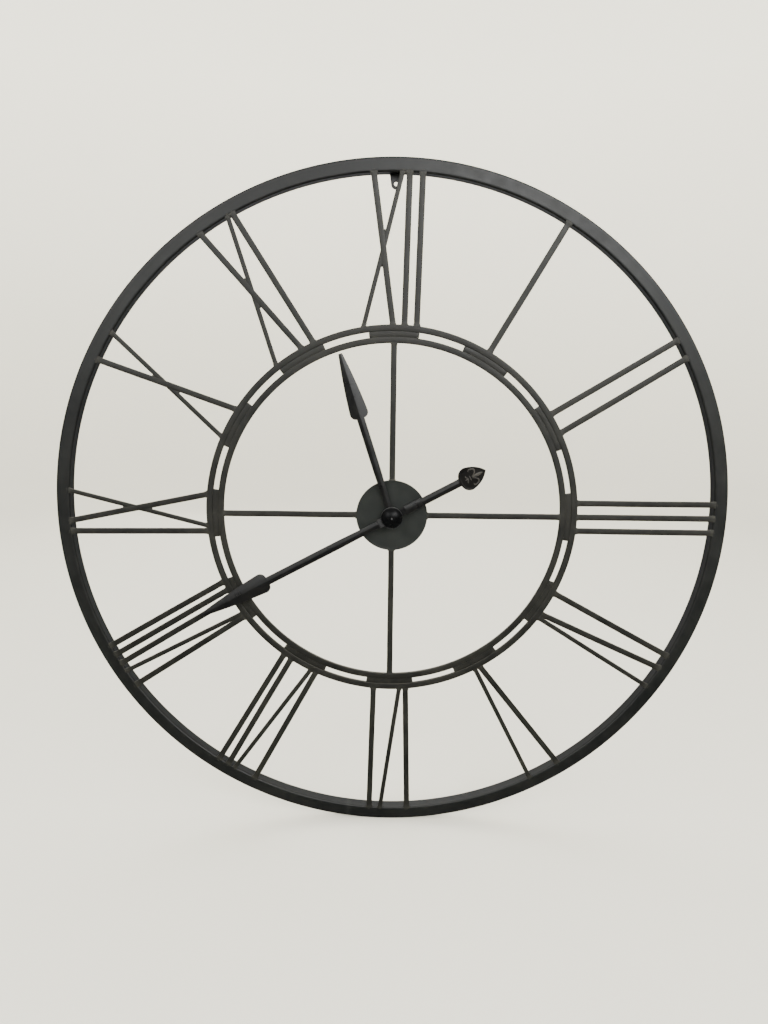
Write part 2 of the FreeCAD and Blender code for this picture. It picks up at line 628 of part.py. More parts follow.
def motion_work():
    """The wheels in front: the arbor's cannon pinion, the minute wheel, the hour wheel, the knob."""
    wheel_phase = in_mesh(0.0, CANNON_TEETH, MINUTE_WHEEL_TEETH, TO_MINUTE_WHEEL)
    back_way = TO_MINUTE_WHEEL + 180.0
    hour_phase = in_mesh(wheel_phase, MINUTE_PINION_TEETH, HOUR_WHEEL_TEETH, back_way)
    knob_phase = in_mesh(wheel_phase, MINUTE_WHEEL_TEETH, KNOB_TEETH, MINUTE_WHEEL_TO_KNOB)

    large = toothed_wheel("minute_wheel_large", MINUTE_WHEEL_TEETH, "motion_module",
                          "pin_bore", "minute_wheel_back", "minute_wheel_front", wheel_phase)
    small = toothed_wheel("minute_wheel_small", MINUTE_PINION_TEETH, "motion_module",
                          "pin_bore", "minute_wheel_front", "hour_wheel_front", wheel_phase)
    upright(fuse("minute_wheel_fused", [large, small]), "minute_wheel",
            x=MINUTE_WHEEL_AT[0], y=MINUTE_WHEEL_AT[1])

    wheel = toothed_wheel("hour_wheel_disc", HOUR_WHEEL_TEETH, "motion_module",
                          "hour_pipe_bore", "hour_wheel_back", "hour_wheel_front", hour_phase)
    pipe = tube("hour_pipe", "hour_pipe_radius", "hour_pipe_bore", "hour_wheel_back",
                "hour_pipe_front")
    upright(fuse("hour_wheel_fused", [wheel, pipe]), "hour_wheel")

    arbor = [
        toothed_wheel("cannon_pinion", CANNON_TEETH, "motion_module", None, "cannon_back",
                      "cannon_front", 0.0),
        cylinder("arbor_front_length", "arbor_radius", "centre_back", "arbor_front"),
        cylinder("arbor_thread", "arbor_thread_radius", "arbor_front",
                 "arbor_front + arbor_thread_length"),
        cylinder("arbor_tail", "arbor_tail_radius", "arbor_tail_back", "centre_back"),
        cylinder("arbor_pivot", "arbor_pivot_radius", "arbor_back", "arbor_tail_back"),
    ]
    upright(fuse("minute_arbor_fused", arbor), "minute_arbor")

    pinion = toothed_wheel("knob_pinion", KNOB_TEETH, "motion_module", None, "cannon_back",
                           "cannon_front", knob_phase)
    shaft = cylinder("knob_shaft", "knob_shaft_radius", "knob_back", "cannon_front")
    knurled = toothed_wheel("knob_grip", GRIP_TEETH, "knob_module", None, "knob_back",
                            "knob_front", 0.0)
    upright(fuse("setting_knob_fused", [pinion, shaft, knurled]), "setting_knob",
            x=KNOB_AT[0], y=KNOB_AT[1])


def going_train():
    """The wheels behind: from the centre wheel on the arbor to the motor's rotor."""
    third_phase = in_mesh(0.0, CENTRE_TEETH, THIRD_PINION_TEETH, TO_THIRD)
    second_phase = in_mesh(third_phase, THIRD_TEETH, SECOND_PINION_TEETH, THIRD_TO_SECOND)
    step_phase = in_mesh(second_phase, SECOND_TEETH, STEP_PINION_TEETH, SECOND_TO_STEP)
    rotor_phase = in_mesh(step_phase, STEP_TEETH, ROTOR_TEETH, STEP_TO_ROTOR)

    upright(toothed_wheel("centre_wheel_disc", CENTRE_TEETH, "centre_module", "clutch_bore",
                          "centre_back", "centre_wheel_front", 0.0), "centre_wheel")
    for label, place, phase, wheel, pinion in (
            ("third_wheel", THIRD_AT, third_phase,
             (THIRD_TEETH, "train_module", "third_back", "third_front"),
             (THIRD_PINION_TEETH, "centre_module", "third_front", "third_pinion_front")),
            ("second_wheel", SECOND_AT, second_phase,
             (SECOND_TEETH, "train_module", "second_back", "second_front"),
             (SECOND_PINION_TEETH, "train_module", "second_front", "second_pinion_front")),
            ("step_wheel", STEP_AT, step_phase,
             (STEP_TEETH, "train_module", "step_back", "step_front"),
             (STEP_PINION_TEETH, "train_module", "step_front", "step_pinion_front"))):
        teeth, module, back, front = wheel
        large = toothed_wheel(label + "_large", teeth, module, "pin_bore", back, front, phase)
        teeth, module, back, front = pinion
        small = toothed_wheel(label + "_small", teeth, module, "pin_bore", back, front, phase)
        upright(fuse(label + "_fused", [large, small]), label, x=place[0], y=place[1])
    pinion = toothed_wheel("rotor_pinion", ROTOR_TEETH, "train_module", "pin_bore",
                           "magnet_front", "rotor_front", rotor_phase)
    magnet = tube("rotor_magnet", "magnet_radius", "pin_bore", "rotor_back", "magnet_front")
    upright(fuse("rotor_fused", [pinion, magnet]), "rotor", x=ROTOR_AT[0], y=ROTOR_AT[1])


# ---- the movement's fixed pieces --------------------------------------------------------------

def movement_case():
    """The front shell: gear room above, battery bay below, bushing in front."""
    body = new_body("case_shell")
    half, room = "case_side / 2", "case_side / 2 - case_wall"
    square = new_sketch(body, "case_square", "case_rim")
    turn, flat = "- case_corner", "%s - case_corner" % half
    outline(square, [
        ("0 - ( %s )" % flat, "0 - " + half, 0), (flat, "0 - " + half, turn),
        (half, "0 - ( %s )" % flat, 0), (half, flat, turn),
        (flat, half, 0), ("0 - ( %s )" % flat, half, turn),
        ("0 - " + half, flat, 0), ("0 - " + half, "0 - ( %s )" % flat, turn),
    ])
    pad(body, square, "case_front - case_rim")
    inner_front = "case_front - case_wall"
    for name, low, high in (("gear_room", "room_floor", room),
                            ("battery_bay", "bay_floor", "bay_ceiling")):
        hollow = new_sketch(body, name, inner_front)
        rectangle(hollow, "0 - ( %s )" % room, room, low, high)
        pocket(body, hollow, inner_front + " - case_rim")
    bushing = new_sketch(body, "bushing_round", "case_front")
    circle(bushing, "bushing_radius")
    pad(body, bushing, "bushing_length")
    bore = new_sketch(body, "bushing_bore_round", "case_front + bushing_length")
    circle(bore, "bushing_bore")
    pocket(body, bore, "bushing_length + case_wall")
    pin_end = "minute_wheel_back - pin_spare"
    pin = new_sketch(body, "minute_wheel_pin", pin_end)
    circle(pin, "pin_radius", "%.6f" % MINUTE_WHEEL_AT[0], "%.6f" % MINUTE_WHEEL_AT[1])
    pad(body, pin, "%s - ( %s )" % (inner_front, pin_end))
    upright(body, "movement_case")


def back_cover():
    """The flat back of the gear room, with the wheel pins, the arbor's bearing and the knob's hole."""
    half = "case_side / 2"
    pieces = [
        block("cover_plate", "0 - " + half, half, "bay_ceiling", half, "cover_back", "case_rim"),
        cylinder("cover_bearing", "bearing_radius", "case_rim", "bearing_front"),
    ]
    for name, place, wheel_front in (
            ("third_pin", THIRD_AT, "third_pinion_front"),
            ("second_pin", SECOND_AT, "second_pinion_front"),
            ("step_pin", STEP_AT, "step_pinion_front"), ("rotor_pin", ROTOR_AT, "rotor_front")):
        pieces.append(cylinder(name, "pin_radius", "case_rim", wheel_front + " + pin_spare",
                               "%.6f" % place[0], "%.6f" % place[1]))
    for number, (x, y) in enumerate(BOARD_STUBS, start=1):
        pieces.append(cylinder("board_stub_%d" % number, "board_stub_radius", "case_rim",
                               "board_back", str(x), str(y)))
    solid = fuse("cover_solid", pieces)
    bearing = cut("cover_with_bearing", solid,
                  cylinder("bearing_bore", "arbor_pivot_radius + running_gap", "arbor_back - 0.5",
                           "bearing_front + 1"))
    knob_hole = cylinder("knob_hole", "knob_shaft_radius + running_gap", "cover_back - 1",
                         "case_rim + 1", "%.6f" % KNOB_AT[0], "%.6f" % KNOB_AT[1])
    upright(cut("cover_drilled", bearing, knob_hole), "movement_back_cover")


def motor():
    """Stator plate, coil core, bobbin and winding."""
    body = new_body("stator_plate")
    face = new_sketch(body, "stator_face", "stator_back")
    outline(face, [(str(x), str(y), 0) for x, y in STATOR_CORNERS])
    circle(face, "stator_hole_radius", "%.6f" % ROTOR_AT[0], "%.6f" % ROTOR_AT[1])
    pad(body, face, "stator_thickness")
    upright(body, "stator")

    upright(block("core_bar", *CORE), "coil_core")
    flanges = [block("bobbin_flange_%d" % number, *sides)
               for number, sides in enumerate(BOBBIN_FLANGES, start=1)]
    spool = fuse("bobbin_spool", [block("bobbin_middle", *BOBBIN_TUBE)] + flanges)
    upright(cut("bobbin_with_hole", spool, block("bobbin_hole", *CORE)), "coil_bobbin")
    upright(cut("winding_ring", block("winding_block", *WINDING),
                block("winding_hole", *BOBBIN_TUBE)), "coil_winding")


def electronics():
    """Circuit board, chip and crystal."""
    upright(block("board", *BOARD), "circuit_board")
    upright(cylinder("chip_round", "chip_radius", "board_front", "chip_front", *CHIP_AT),
            "clock_chip")
    can = doc.addObject("Part::Cylinder", "crystal_can")
    can.Placement = FreeCAD.Placement(V(0, 0, 0), FreeCAD.Rotation(V(1, 0, 0), -90))
    bind(can, "Radius", "crystal_radius")
    bind(can, "Height", "crystal_length")
    for axis, place in zip("xyz", CRYSTAL_AT):
        bind(can, "Placement.Base." + axis, place)
    upright(can, "quartz_crystal")


def battery():
    """An AA cell lying in the bay, and the two contacts at its ends."""
    cell = [
        lying_cylinder("cell_can", "battery_radius", "cell_left", "cell_shoulder",
                       "battery_height", "battery_level"),
        lying_cylinder("cell_button", "button_radius", "cell_shoulder", "button_right",
                       "battery_height", "battery_level"),
    ]
    upright(fuse("cell_fused", cell), "battery_cell")
    upright(block("plus_plate", *PLUS_CONTACT), "battery_contact_plus")
    coil = doc.addObject("Part::Cone", "minus_cone")
    coil.Placement = FreeCAD.Placement(V(0, 0, 0), FreeCAD.Rotation(V(0, 1, 0), 90))
    bind(coil, "Radius1", "spring_radius")
    bind(coil, "Radius2", "spring_tip_radius")
    bind(coil, "Height", "spring_length")
    bind(coil, "Placement.Base.x", "spring_left")
    bind(coil, "Placement.Base.y", "battery_height")
    bind(coil, "Placement.Base.z", "battery_level")
    plate = block("minus_plate", *MINUS_CONTACT)
    upright(fuse("minus_fused", [plate, coil]), "battery_contact_minus")


def hub_fasteners():
    """What clamps the movement to the hub plate: rubber washer, brass washer and hex nut."""
    upright(tube("rubber_ring", "washer_radius", "plate_hole_radius", "case_front", "tube_side"),
            "rubber_washer")
    plate_front = "tube_side + plate_thickness"
    brass_front = plate_front + " + brass_thickness"
    upright(tube("brass_ring", "brass_radius", "plate_hole_radius", plate_front, brass_front),
            "brass_washer")
    hexagon = doc.addObject("Part::Prism", "nut_hexagon")
    hexagon.Polygon = 6
    bind(hexagon, "Circumradius", "nut_flats / sqrt(3)")
    bind(hexagon, "Height", "nut_height")
    bind(hexagon, "Placement.Base.z", brass_front)
    thread = cylinder("nut_thread", "bushing_radius", "tube_side", brass_front + " + nut_height + 1")
    upright(cut("nut_tapped", hexagon, thread), "hub_nut")


# ---- the hands --------------------------------------------------------------------------------

def folded_sheet(name, ridge, half_width, near, far):
    """A sheet folded along a straight ridge on the y axis, between two values of y."""
    body = new_body(name)
    section = new_sketch(body, name + "_section", "0 - ( %s )" % far, "XZ_Plane")
    edge = "%s - fold_slope * %s" % (ridge, half_width)
    outline(section, [
        ("0", ridge, 0), (half_width, edge, 0), (half_width, edge + " - sheet_thickness", 0),
        ("0", ridge + " - sheet_thickness", 0),
        ("0 - " + half_width, edge + " - sheet_thickness", 0), ("0 - " + half_width, edge, 0),
    ])
    pad(body, section, "( %s ) - ( %s )" % (far, near))
    return body


def hand_outline(name, kind):
    """The flat shape of a spade hand: a neck that widens to its arm, then the spade, then the tip."""
    arm, spade, tip = kind + "_arm_half", kind + "_spade_half", kind + "_tip_half"
    root, widest, far = kind + "_spade_root", kind + "_spade_widest", kind + "_length"
    near, near_half, shoulder = kind + "_near", kind + "_neck_half", kind + "_shoulder"
    body = new_body(name)
    face = new_sketch(body, name + "_face", BEHIND_HANDS)
    cheek = "( %s - %s ) * %g" % (widest, root, CHEEK_SHARE)
    taper = "%s * %g" % (far, TAPER_SHARE)
    outline(face, [
        (near_half, near, 0), (arm, shoulder, 0), (arm, root, "- " + cheek),
        (spade, widest, taper), (tip, far, 0),
        ("0 - " + tip, far, taper), ("0 - " + spade, widest, "- " + cheek),
        ("0 - " + arm, root, 0), ("0 - " + arm, shoulder, 0), ("0 - " + near_half, near, 0),
    ])
    pad(body, face, "%s - %s" % (BEFORE_HANDS, BEHIND_HANDS))
    return body


def hour_hand():
    """The hour hand, folded along its ridge, with a flat round eye, and the collet behind it."""
    flat_front = "hour_ridge - fold_slope * hour_arm_half"
    flat_back = flat_front + " - sheet_thickness"
    fold = folded_sheet("hour_fold", "hour_ridge", "( hour_spade_half + 3 )", "hour_near - 1",
                        "hour_length + 1")
    blade = common("hour_blade", fold, hand_outline("hour_shape", "hour"))
    eye = cylinder("hour_eye", "hour_eye_radius", flat_back, flat_front)
    bore = cylinder("hour_eye_bore", "hour_pipe_radius", BEHIND_HANDS, BEFORE_HANDS)
    upright(cut("hour_bored", fuse("hour_fused", [blade, eye]), bore), "hour_hand",
            turn=-HOUR_REST)
    upright(tube("hour_bush", "hour_collet_radius", "hour_pipe_radius", "hour_collet_back",
                 flat_back), "hour_hand_collet")


def minute_hand():
    """The minute hand: folded outside the hub, flat at the eye and on the stub; and its collar."""
    flat_back = "arbor_front - sheet_thickness"
    fold = folded_sheet("minute_fold", "minute_ridge", "( minute_spade_half + 3 )", "minute_near - 1",
                        "minute_length + 1")
    blade = common("minute_blade", fold, hand_outline("minute_shape", "minute"))
    flat = block("minute_flat", "0 - minute_neck_half", "minute_neck_half", "0 - minute_stub",
                 "minute_near + 2", flat_back, "arbor_front")
    eye = cylinder("minute_eye", "minute_eye_radius", flat_back, "arbor_front")
    bore = cylinder("minute_eye_bore", "arbor_radius", BEHIND_HANDS, BEFORE_HANDS)
    upright(cut("minute_bored", fuse("minute_fused", [blade, flat, eye]), bore), "minute_hand",
            turn=-MINUTE_REST)
    upright(tube("minute_bush", "minute_collar_radius", "arbor_radius", "minute_collar_back",
                 flat_back), "minute_hand_collar")


def tail():
    """The counterweight: a folded arm, the sleeve that holds it to the hand's stub, and a leaf."""
    fold = folded_sheet("tail_fold", "minute_ridge", "tail_half", "0 - tail_end", "0 - tail_start")
    upright(fold, "tail_arm", turn=-MINUTE_REST)
    stub_back = "arbor_front - sheet_thickness"
    past_far, past_near = "0 - sleeve_far - 1", "1 - sleeve_near"
    outer = block("sleeve_outer", "0 - sleeve_half", "sleeve_half", "0 - sleeve_far",
                  "0 - sleeve_near", stub_back + " - sleeve_behind", "arbor_front + sleeve_ahead")
    slot = block("sleeve_slot", "0 - minute_neck_half", "minute_neck_half", past_far, past_near,
                 stub_back, "arbor_front")
    arm_room = folded_sheet("sleeve_arm_room", "minute_ridge", "tail_half", past_far,
                            "0 - tail_start")
    hollow = fuse("sleeve_hollow", [slot, arm_room])
    upright(cut("sleeve_cut", outer, hollow), "tail_sleeve", turn=-MINUTE_REST)

    body = new_body("leaf_plate")
    face = new_sketch(body, "leaf_face", "minute_ridge")
    root, side = "leaf_half * %g" % LEAF_ROOT_SHARE, "leaf_half * %g" % LEAF_SIDE_SHARE
    outline(face, [
        ("0 - tail_half", "0 - leaf_root", 0), ("tail_half", "0 - leaf_root", root),
        ("leaf_half", "0 - leaf_widest", side), ("0", "0 - leaf_tip", side),
        ("0 - leaf_half", "0 - leaf_widest", root),
    ])
    pad(body, face, "leaf_thickness")
    upright(body, "tail_leaf", turn=-MINUTE_REST)


def cap_nut():
    """The round domed nut that holds the minute hand on the arbor's threaded tip."""
    body = new_body("cap_dome_body")
    section = new_sketch(body, "cap_section", 0, "XZ_Plane")
    side_top, top = "cap_back + cap_side", "cap_back + cap_side + cap_dome"
    thread_end = "arbor_front + cap_thread_depth"
    dome = "( cap_radius ^ 2 + cap_dome ^ 2 ) / ( 2 * cap_dome )"
    outline(section, [
        ("arbor_thread_radius", "cap_back", 0), ("cap_radius", "cap_back", 0),
        ("cap_radius", side_top, "- " + dome), ("0", top, 0),
        ("0", thread_end, 0), ("arbor_thread_radius", thread_end, 0),
    ])
    revolve(body, section, "V_Axis")
    upright(body, "cap_nut")


def write_parts():
    """Check every object, then write each sub-part's solids to a file named by its label."""
    doc.recompute()
    for thing in doc.Objects:
        if "Invalid" in thing.State or "Error" in thing.State:
            raise RuntimeError("%s failed: %s" % (thing.Name, thing.State))
    for piece in SUB_PARTS:
        if piece.Shape.isNull() or not piece.Shape.isValid() or not piece.Shape.Solids:
            raise RuntimeError("%s has no valid shape" % piece.Label)
    for piece in SUB_PARTS:
        piece.Shape.exportStep("parts/%s.step" % piece.Label)
        print("%-24s %2d solids %10.1f mm3" % (piece.Label, len(piece.Shape.Solids),
                                              piece.Shape.Volume))
    print(len(SUB_PARTS), "sub-parts")


frame()
motion_work()
going_train()
movement_case()
back_cover()
motor()
electronics()
battery()
hub_fasteners()
hour_hand()
minute_hand()
tail()
cap_nut()
write_parts()
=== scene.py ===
import random
from collections import namedtuple
from math import copysign, cos, hypot, pi, radians, sin, sqrt, tau

import bmesh
import bpy
from mathutils import Matrix, Vector, noise


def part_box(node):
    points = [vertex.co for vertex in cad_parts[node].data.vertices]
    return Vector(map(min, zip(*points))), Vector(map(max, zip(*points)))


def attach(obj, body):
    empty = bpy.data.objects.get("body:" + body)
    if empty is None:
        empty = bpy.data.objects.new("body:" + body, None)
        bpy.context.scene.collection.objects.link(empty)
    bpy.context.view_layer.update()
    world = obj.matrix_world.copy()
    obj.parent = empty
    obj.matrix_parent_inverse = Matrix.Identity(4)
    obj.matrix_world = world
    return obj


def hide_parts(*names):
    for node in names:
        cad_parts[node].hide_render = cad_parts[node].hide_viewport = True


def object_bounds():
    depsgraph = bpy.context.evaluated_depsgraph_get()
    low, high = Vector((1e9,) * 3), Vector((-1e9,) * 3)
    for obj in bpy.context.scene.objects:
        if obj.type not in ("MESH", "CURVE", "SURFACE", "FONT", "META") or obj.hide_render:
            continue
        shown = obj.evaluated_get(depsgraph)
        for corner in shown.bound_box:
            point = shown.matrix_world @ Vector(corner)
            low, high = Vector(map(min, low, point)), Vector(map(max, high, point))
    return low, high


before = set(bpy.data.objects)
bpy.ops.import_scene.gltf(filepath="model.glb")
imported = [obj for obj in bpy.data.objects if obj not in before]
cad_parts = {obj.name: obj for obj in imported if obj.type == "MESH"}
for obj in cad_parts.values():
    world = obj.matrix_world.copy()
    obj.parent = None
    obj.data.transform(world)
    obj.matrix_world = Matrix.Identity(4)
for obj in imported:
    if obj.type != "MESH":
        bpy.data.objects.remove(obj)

# The looks of the open wall clock. Shapes are drawn in dial coordinates, in millimetres: x to the
# right, y towards 12 o'clock, and level in front of the wall. at() turns them into the row frame.

CAD_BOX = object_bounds()
PLATE_LOW, PLATE_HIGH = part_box("hub_plate")
DIAL = (PLATE_LOW + PLATE_HIGH) / 2
MM = 0.001

# Measures in millimetres and degrees, the CAD's except where a comment says otherwise.
RING_OUTER, RING_INNER, TUBE = 500.0, 480.0, 20.0
FRONT = 20.0  # front of the ring, the bars and the hoops
BAR_BACK = 16.0
OUTER_HOOP, INNER_HOOP, HOOP_WIDTH, HOOP_BACK = 276.5, 259.5, 8.5, 15.0
SPACER_BACK, SPACER_FRONT, SPACER_REACH = 16.0, 19.0, 7.8
SPOKE_ROOT = 44.0
PLATE_RADIUS, PLATE_BACK, PLATE_FRONT = 53.0, 20.0, 22.0
HOUR_REST, MINUTE_REST = 342.0, 241.7  # clockwise from 12
HOUR_RIDGE, MINUTE_FRONT, ARM_RIDGE, ARM_HALF = 32.5, 37.5, 38.5, 5.8
LEAF_BACK, LEAF_FRONT, LEAF_ROOT, LEAF_TIP = 38.5, 42.5, 112.0, 153.0
CAP_RADIUS, CAP_SIDE_TOP, CAP_DOME = 16.0, 41.0, 21.786
CASE_HALF = 28.0
WIDE, THIN = 8.0, 6.0
COAT = 0.3  # how far bars and hoops swell under their coating
FOLD = 0.24  # drop of a folded sheet from its ridge
SHEET = 1.0

# Strokes of each numeral: width, offset from the hour line at the ring, and at the larger hoop.
STROKES = {
    1: [(WIDE, 0, -1)],
    2: [(WIDE, -22, -17), (WIDE, 7, 14)],
    3: [(WIDE, -21.5, -21), (WIDE, 0, 0), (WIDE, 21.5, 21)],
    4: [(WIDE, -27, -22), (WIDE, -4, 16), (THIN, 30.5, 23)],
    5: [(WIDE, -34, -2.5), (THIN, 16.5, 6)],
    6: [(WIDE, -30.5, -25), (THIN, 12.5, -15), (WIDE, 30, 25)],
    7: [(WIDE, -31, -26), (THIN, 5, -17), (WIDE, 17, 18), (WIDE, 34, 31)],
    8: [(WIDE, -40, -28), (THIN, -13.5, -22), (WIDE, 1, 7), (WIDE, 17, 21), (WIDE, 33, 35)],
    9: [(WIDE, -30, -27.5), (WIDE, -14, 28), (THIN, 32, -19)],
    10: [(WIDE, -20, 19), (THIN, 24, -26)],
    11: [(WIDE, -38, 6), (THIN, 7.5, -37), (WIDE, 15.5, 25)],
    12: [(WIDE, -31, -2), (THIN, 8.5, -43), (WIDE, 18.5, 14.5), (WIDE, 36.5, 32)],
}
# The two strokes of a numeral that cross. The second is made a little lower.
CROSSED = {9: (1, 2), 10: (0, 1), 11: (0, 1), 12: (0, 1)}

chance = random.Random(24)


def at(x, y, level):
    """Dial coordinates in millimetres to the row frame in metres."""
    return Vector((DIAL.x + x * MM, -level * MM, DIAL.z + y * MM))


def circle(radius, turn, centre=(0.0, 0.0)):
    """Dial x and y of a place on a circle, at an angle in radians from 12."""
    return centre[0] + radius * sin(turn), centre[1] + radius * cos(turn)


def polar(radius, clock, level):
    """A point at a clock angle in degrees from 12."""
    return at(*circle(radius, radians(clock)), level)


def clocks(steps):
    """Clock angles all the way round."""
    return [360.0 * i / steps for i in range(steps)]


def beside(clock, across, along, level):
    """A point by a line from the centre at a clock angle: across to its right, along it outwards."""
    turn = radians(clock)
    return at(along * sin(turn) + across * cos(turn),
        along * cos(turn) - across * sin(turn), level)


def ripple(x, y, z, size):
    """Smooth noise from -1 to 1 of a point in millimetres, with features of a size."""
    return noise.noise(Vector((x / size, y / size, z / size)))


# ---- mesh making ----

class Shape:
    """Points and faces of one piece, gathered from several parts."""

    def __init__(self):
        self.points, self.faces, self.weld = [], [], []

    def add(self, points, faces, weld=0.0):
        """Add faces over their own points; weld is 0 to 1, one number or one for each point."""
        start = len(self.points)
        self.points += points
        self.faces += [[start + i for i in face] for face in faces]
        self.weld += list(weld) if isinstance(weld, (list, tuple)) else [weld] * len(points)

    def loft(self, rings, closed=False, weld=0.0):
        """Skin a row of rings that have the same number of points; closed joins the last to the first."""
        size, count = len(rings[0]), len(rings)
        points = [point for ring in rings for point in ring]
        faces = []
        for i in range(count if closed else count - 1):
            here, there = i * size, (i + 1) % count * size
            for j in range(size):
                after = (j + 1) % size
                faces.append([here + j, here + after, there + after, there + j])
        if not closed:
            faces.append(list(range(size))[::-1])
            faces.append(list(range((count - 1) * size, count * size)))
        if isinstance(weld, (list, tuple)):
            weld = [number for number in weld for j in range(size)]
        self.add(points, faces, weld)

    def finish(self, name, body, material, *nodes, slot=None, crease=35.0):
        """Make the Blender object, let it ride on a body, and let it stand for CAD nodes."""
        mesh = bpy.data.meshes.new(name)
        mesh.from_pydata([tuple(point) for point in self.points], [], self.faces)
        mesh.validate()
        made = linked(name, mesh)
        weld = mesh.attributes.new("weld", "FLOAT", "POINT")
        weld.data.foreach_set("value", self.weld)
        outward(mesh)
        mesh.shade_smooth()
        mesh.set_sharp_from_angle(angle=radians(crease))
        mesh.materials.append(material)
        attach(made, body)
        if nodes:
            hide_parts(*nodes)
        return made


def linked(name, data):
    """A new object in the scene."""
    made = bpy.data.objects.new(name, data)
    bpy.context.scene.collection.objects.link(made)
    return made


def outward(mesh):
    """Turn every face outwards."""
    work = bmesh.new()
    work.from_mesh(mesh)
    bmesh.ops.recalc_face_normals(work, faces=work.faces)
    work.to_mesh(mesh)
    work.free()


def rounded(left, right, low, high, corner, steps=4, side=1):
    """A rectangle with round corners as (a, b) points; side is how many points run along each side."""
    corner = min(corner, (right - left) / 2 - 1e-4, (high - low) / 2 - 1e-4)
    centres = [(right - corner, high - corner, 0), (left + corner, high - corner, 90),
        (left + corner, low + corner, 180), (right - corner, low + corner, 270)]
    points = []
    for corner_no, (a, b, start) in enumerate(centres):
        for i in range(steps + 1):
            turn = radians(start + 90.0 * i / steps)
            points.append((a + corner * cos(turn), b + corner * sin(turn)))
        if side > 1:
            last = points[-1]
            na, nb, nstart = centres[(corner_no + 1) % 4]
            turn = radians(nstart)
            first = (na + corner * cos(turn), nb + corner * sin(turn))
            for i in range(1, side):
                share = i / side
                points.append((last[0] + (first[0] - last[0]) * share,
                    last[1] + (first[1] - last[1]) * share))
    return points


def turned(shape, profile, steps=96, centre=(0.0, 0.0)):
    """Turn a closed profile of (radius, level) points about an axis of the dial."""
    shape.loft([[at(*circle(radius, tau * i / steps, centre), level) for radius, level in profile]
        for i in range(steps)], closed=True)


def spun(profile, steps, place, ends=2):
    """Points and faces of an open profile spun round. It starts on the axis, and ends there if ends is 2.

    place turns (a, b) of the profile and an angle into a point."""
    open_part = profile[1:-1] if ends == 2 else profile[1:]
    points = [place(*profile[0], 0.0)]
    for i in range(steps):
        points += [place(a, b, tau * i / steps) for a, b in open_part]
    if ends == 2:
        points.append(place(*profile[-1], 0.0))
    size, faces = len(open_part), []
    for i in range(steps):
        here, there = 1 + i * size, 1 + (i + 1) % steps * size
        faces.append([0, here, there])
        if ends == 2:
            faces.append([len(points) - 1, there + size - 1, here + size - 1])
        for j in range(size - 1):
            faces.append([here + j, here + j + 1, there + j + 1, there + j])
    return points, faces


def solid_of_turning(shape, profile, steps):
    """Turn an open profile of (radius, level) points about the dial's axis into a closed solid."""
    shape.add(*spun(profile, steps, lambda radius, level, turn: at(*circle(radius, turn), level)))


def bead(shape, start, end, half_width, back, front, lump=0.35):
    """A run of weld between two points of the dial: a low, uneven ridge with round ends."""
    (x0, y0), (x1, y1) = start, end
    length = hypot(x1 - x0, y1 - y0)
    along = ((x1 - x0) / length, (y1 - y0) / length)
    across = (-along[1], along[0])
    count = max(7, int(length / 0.7))
    seed = chance.random() * 100
    rings = []
    for i in range(count + 1):
        share = i / count
        swell = max(0.12, sin(pi * min(1, max(0, share))) ** 0.45)
        uneven = 1 + lump * ripple(share * length, seed, 0, 1.7)
        centre = (x0 + along[0] * length * share, y0 + along[1] * length * share)
        ring = []
        for j in range(12):
            turn = tau * j / 12
            side = half_width * swell * uneven * cos(turn)
            rise = sin(turn)
            level = (back + front) / 2 + (front - back) / 2 * swell * uneven * rise
            ring.append(at(centre[0] + across[0] * side, centre[1] + across[1] * side, level))
        rings.append(ring)
    shape.loft(rings, weld=1.0)


# ---- materials ----

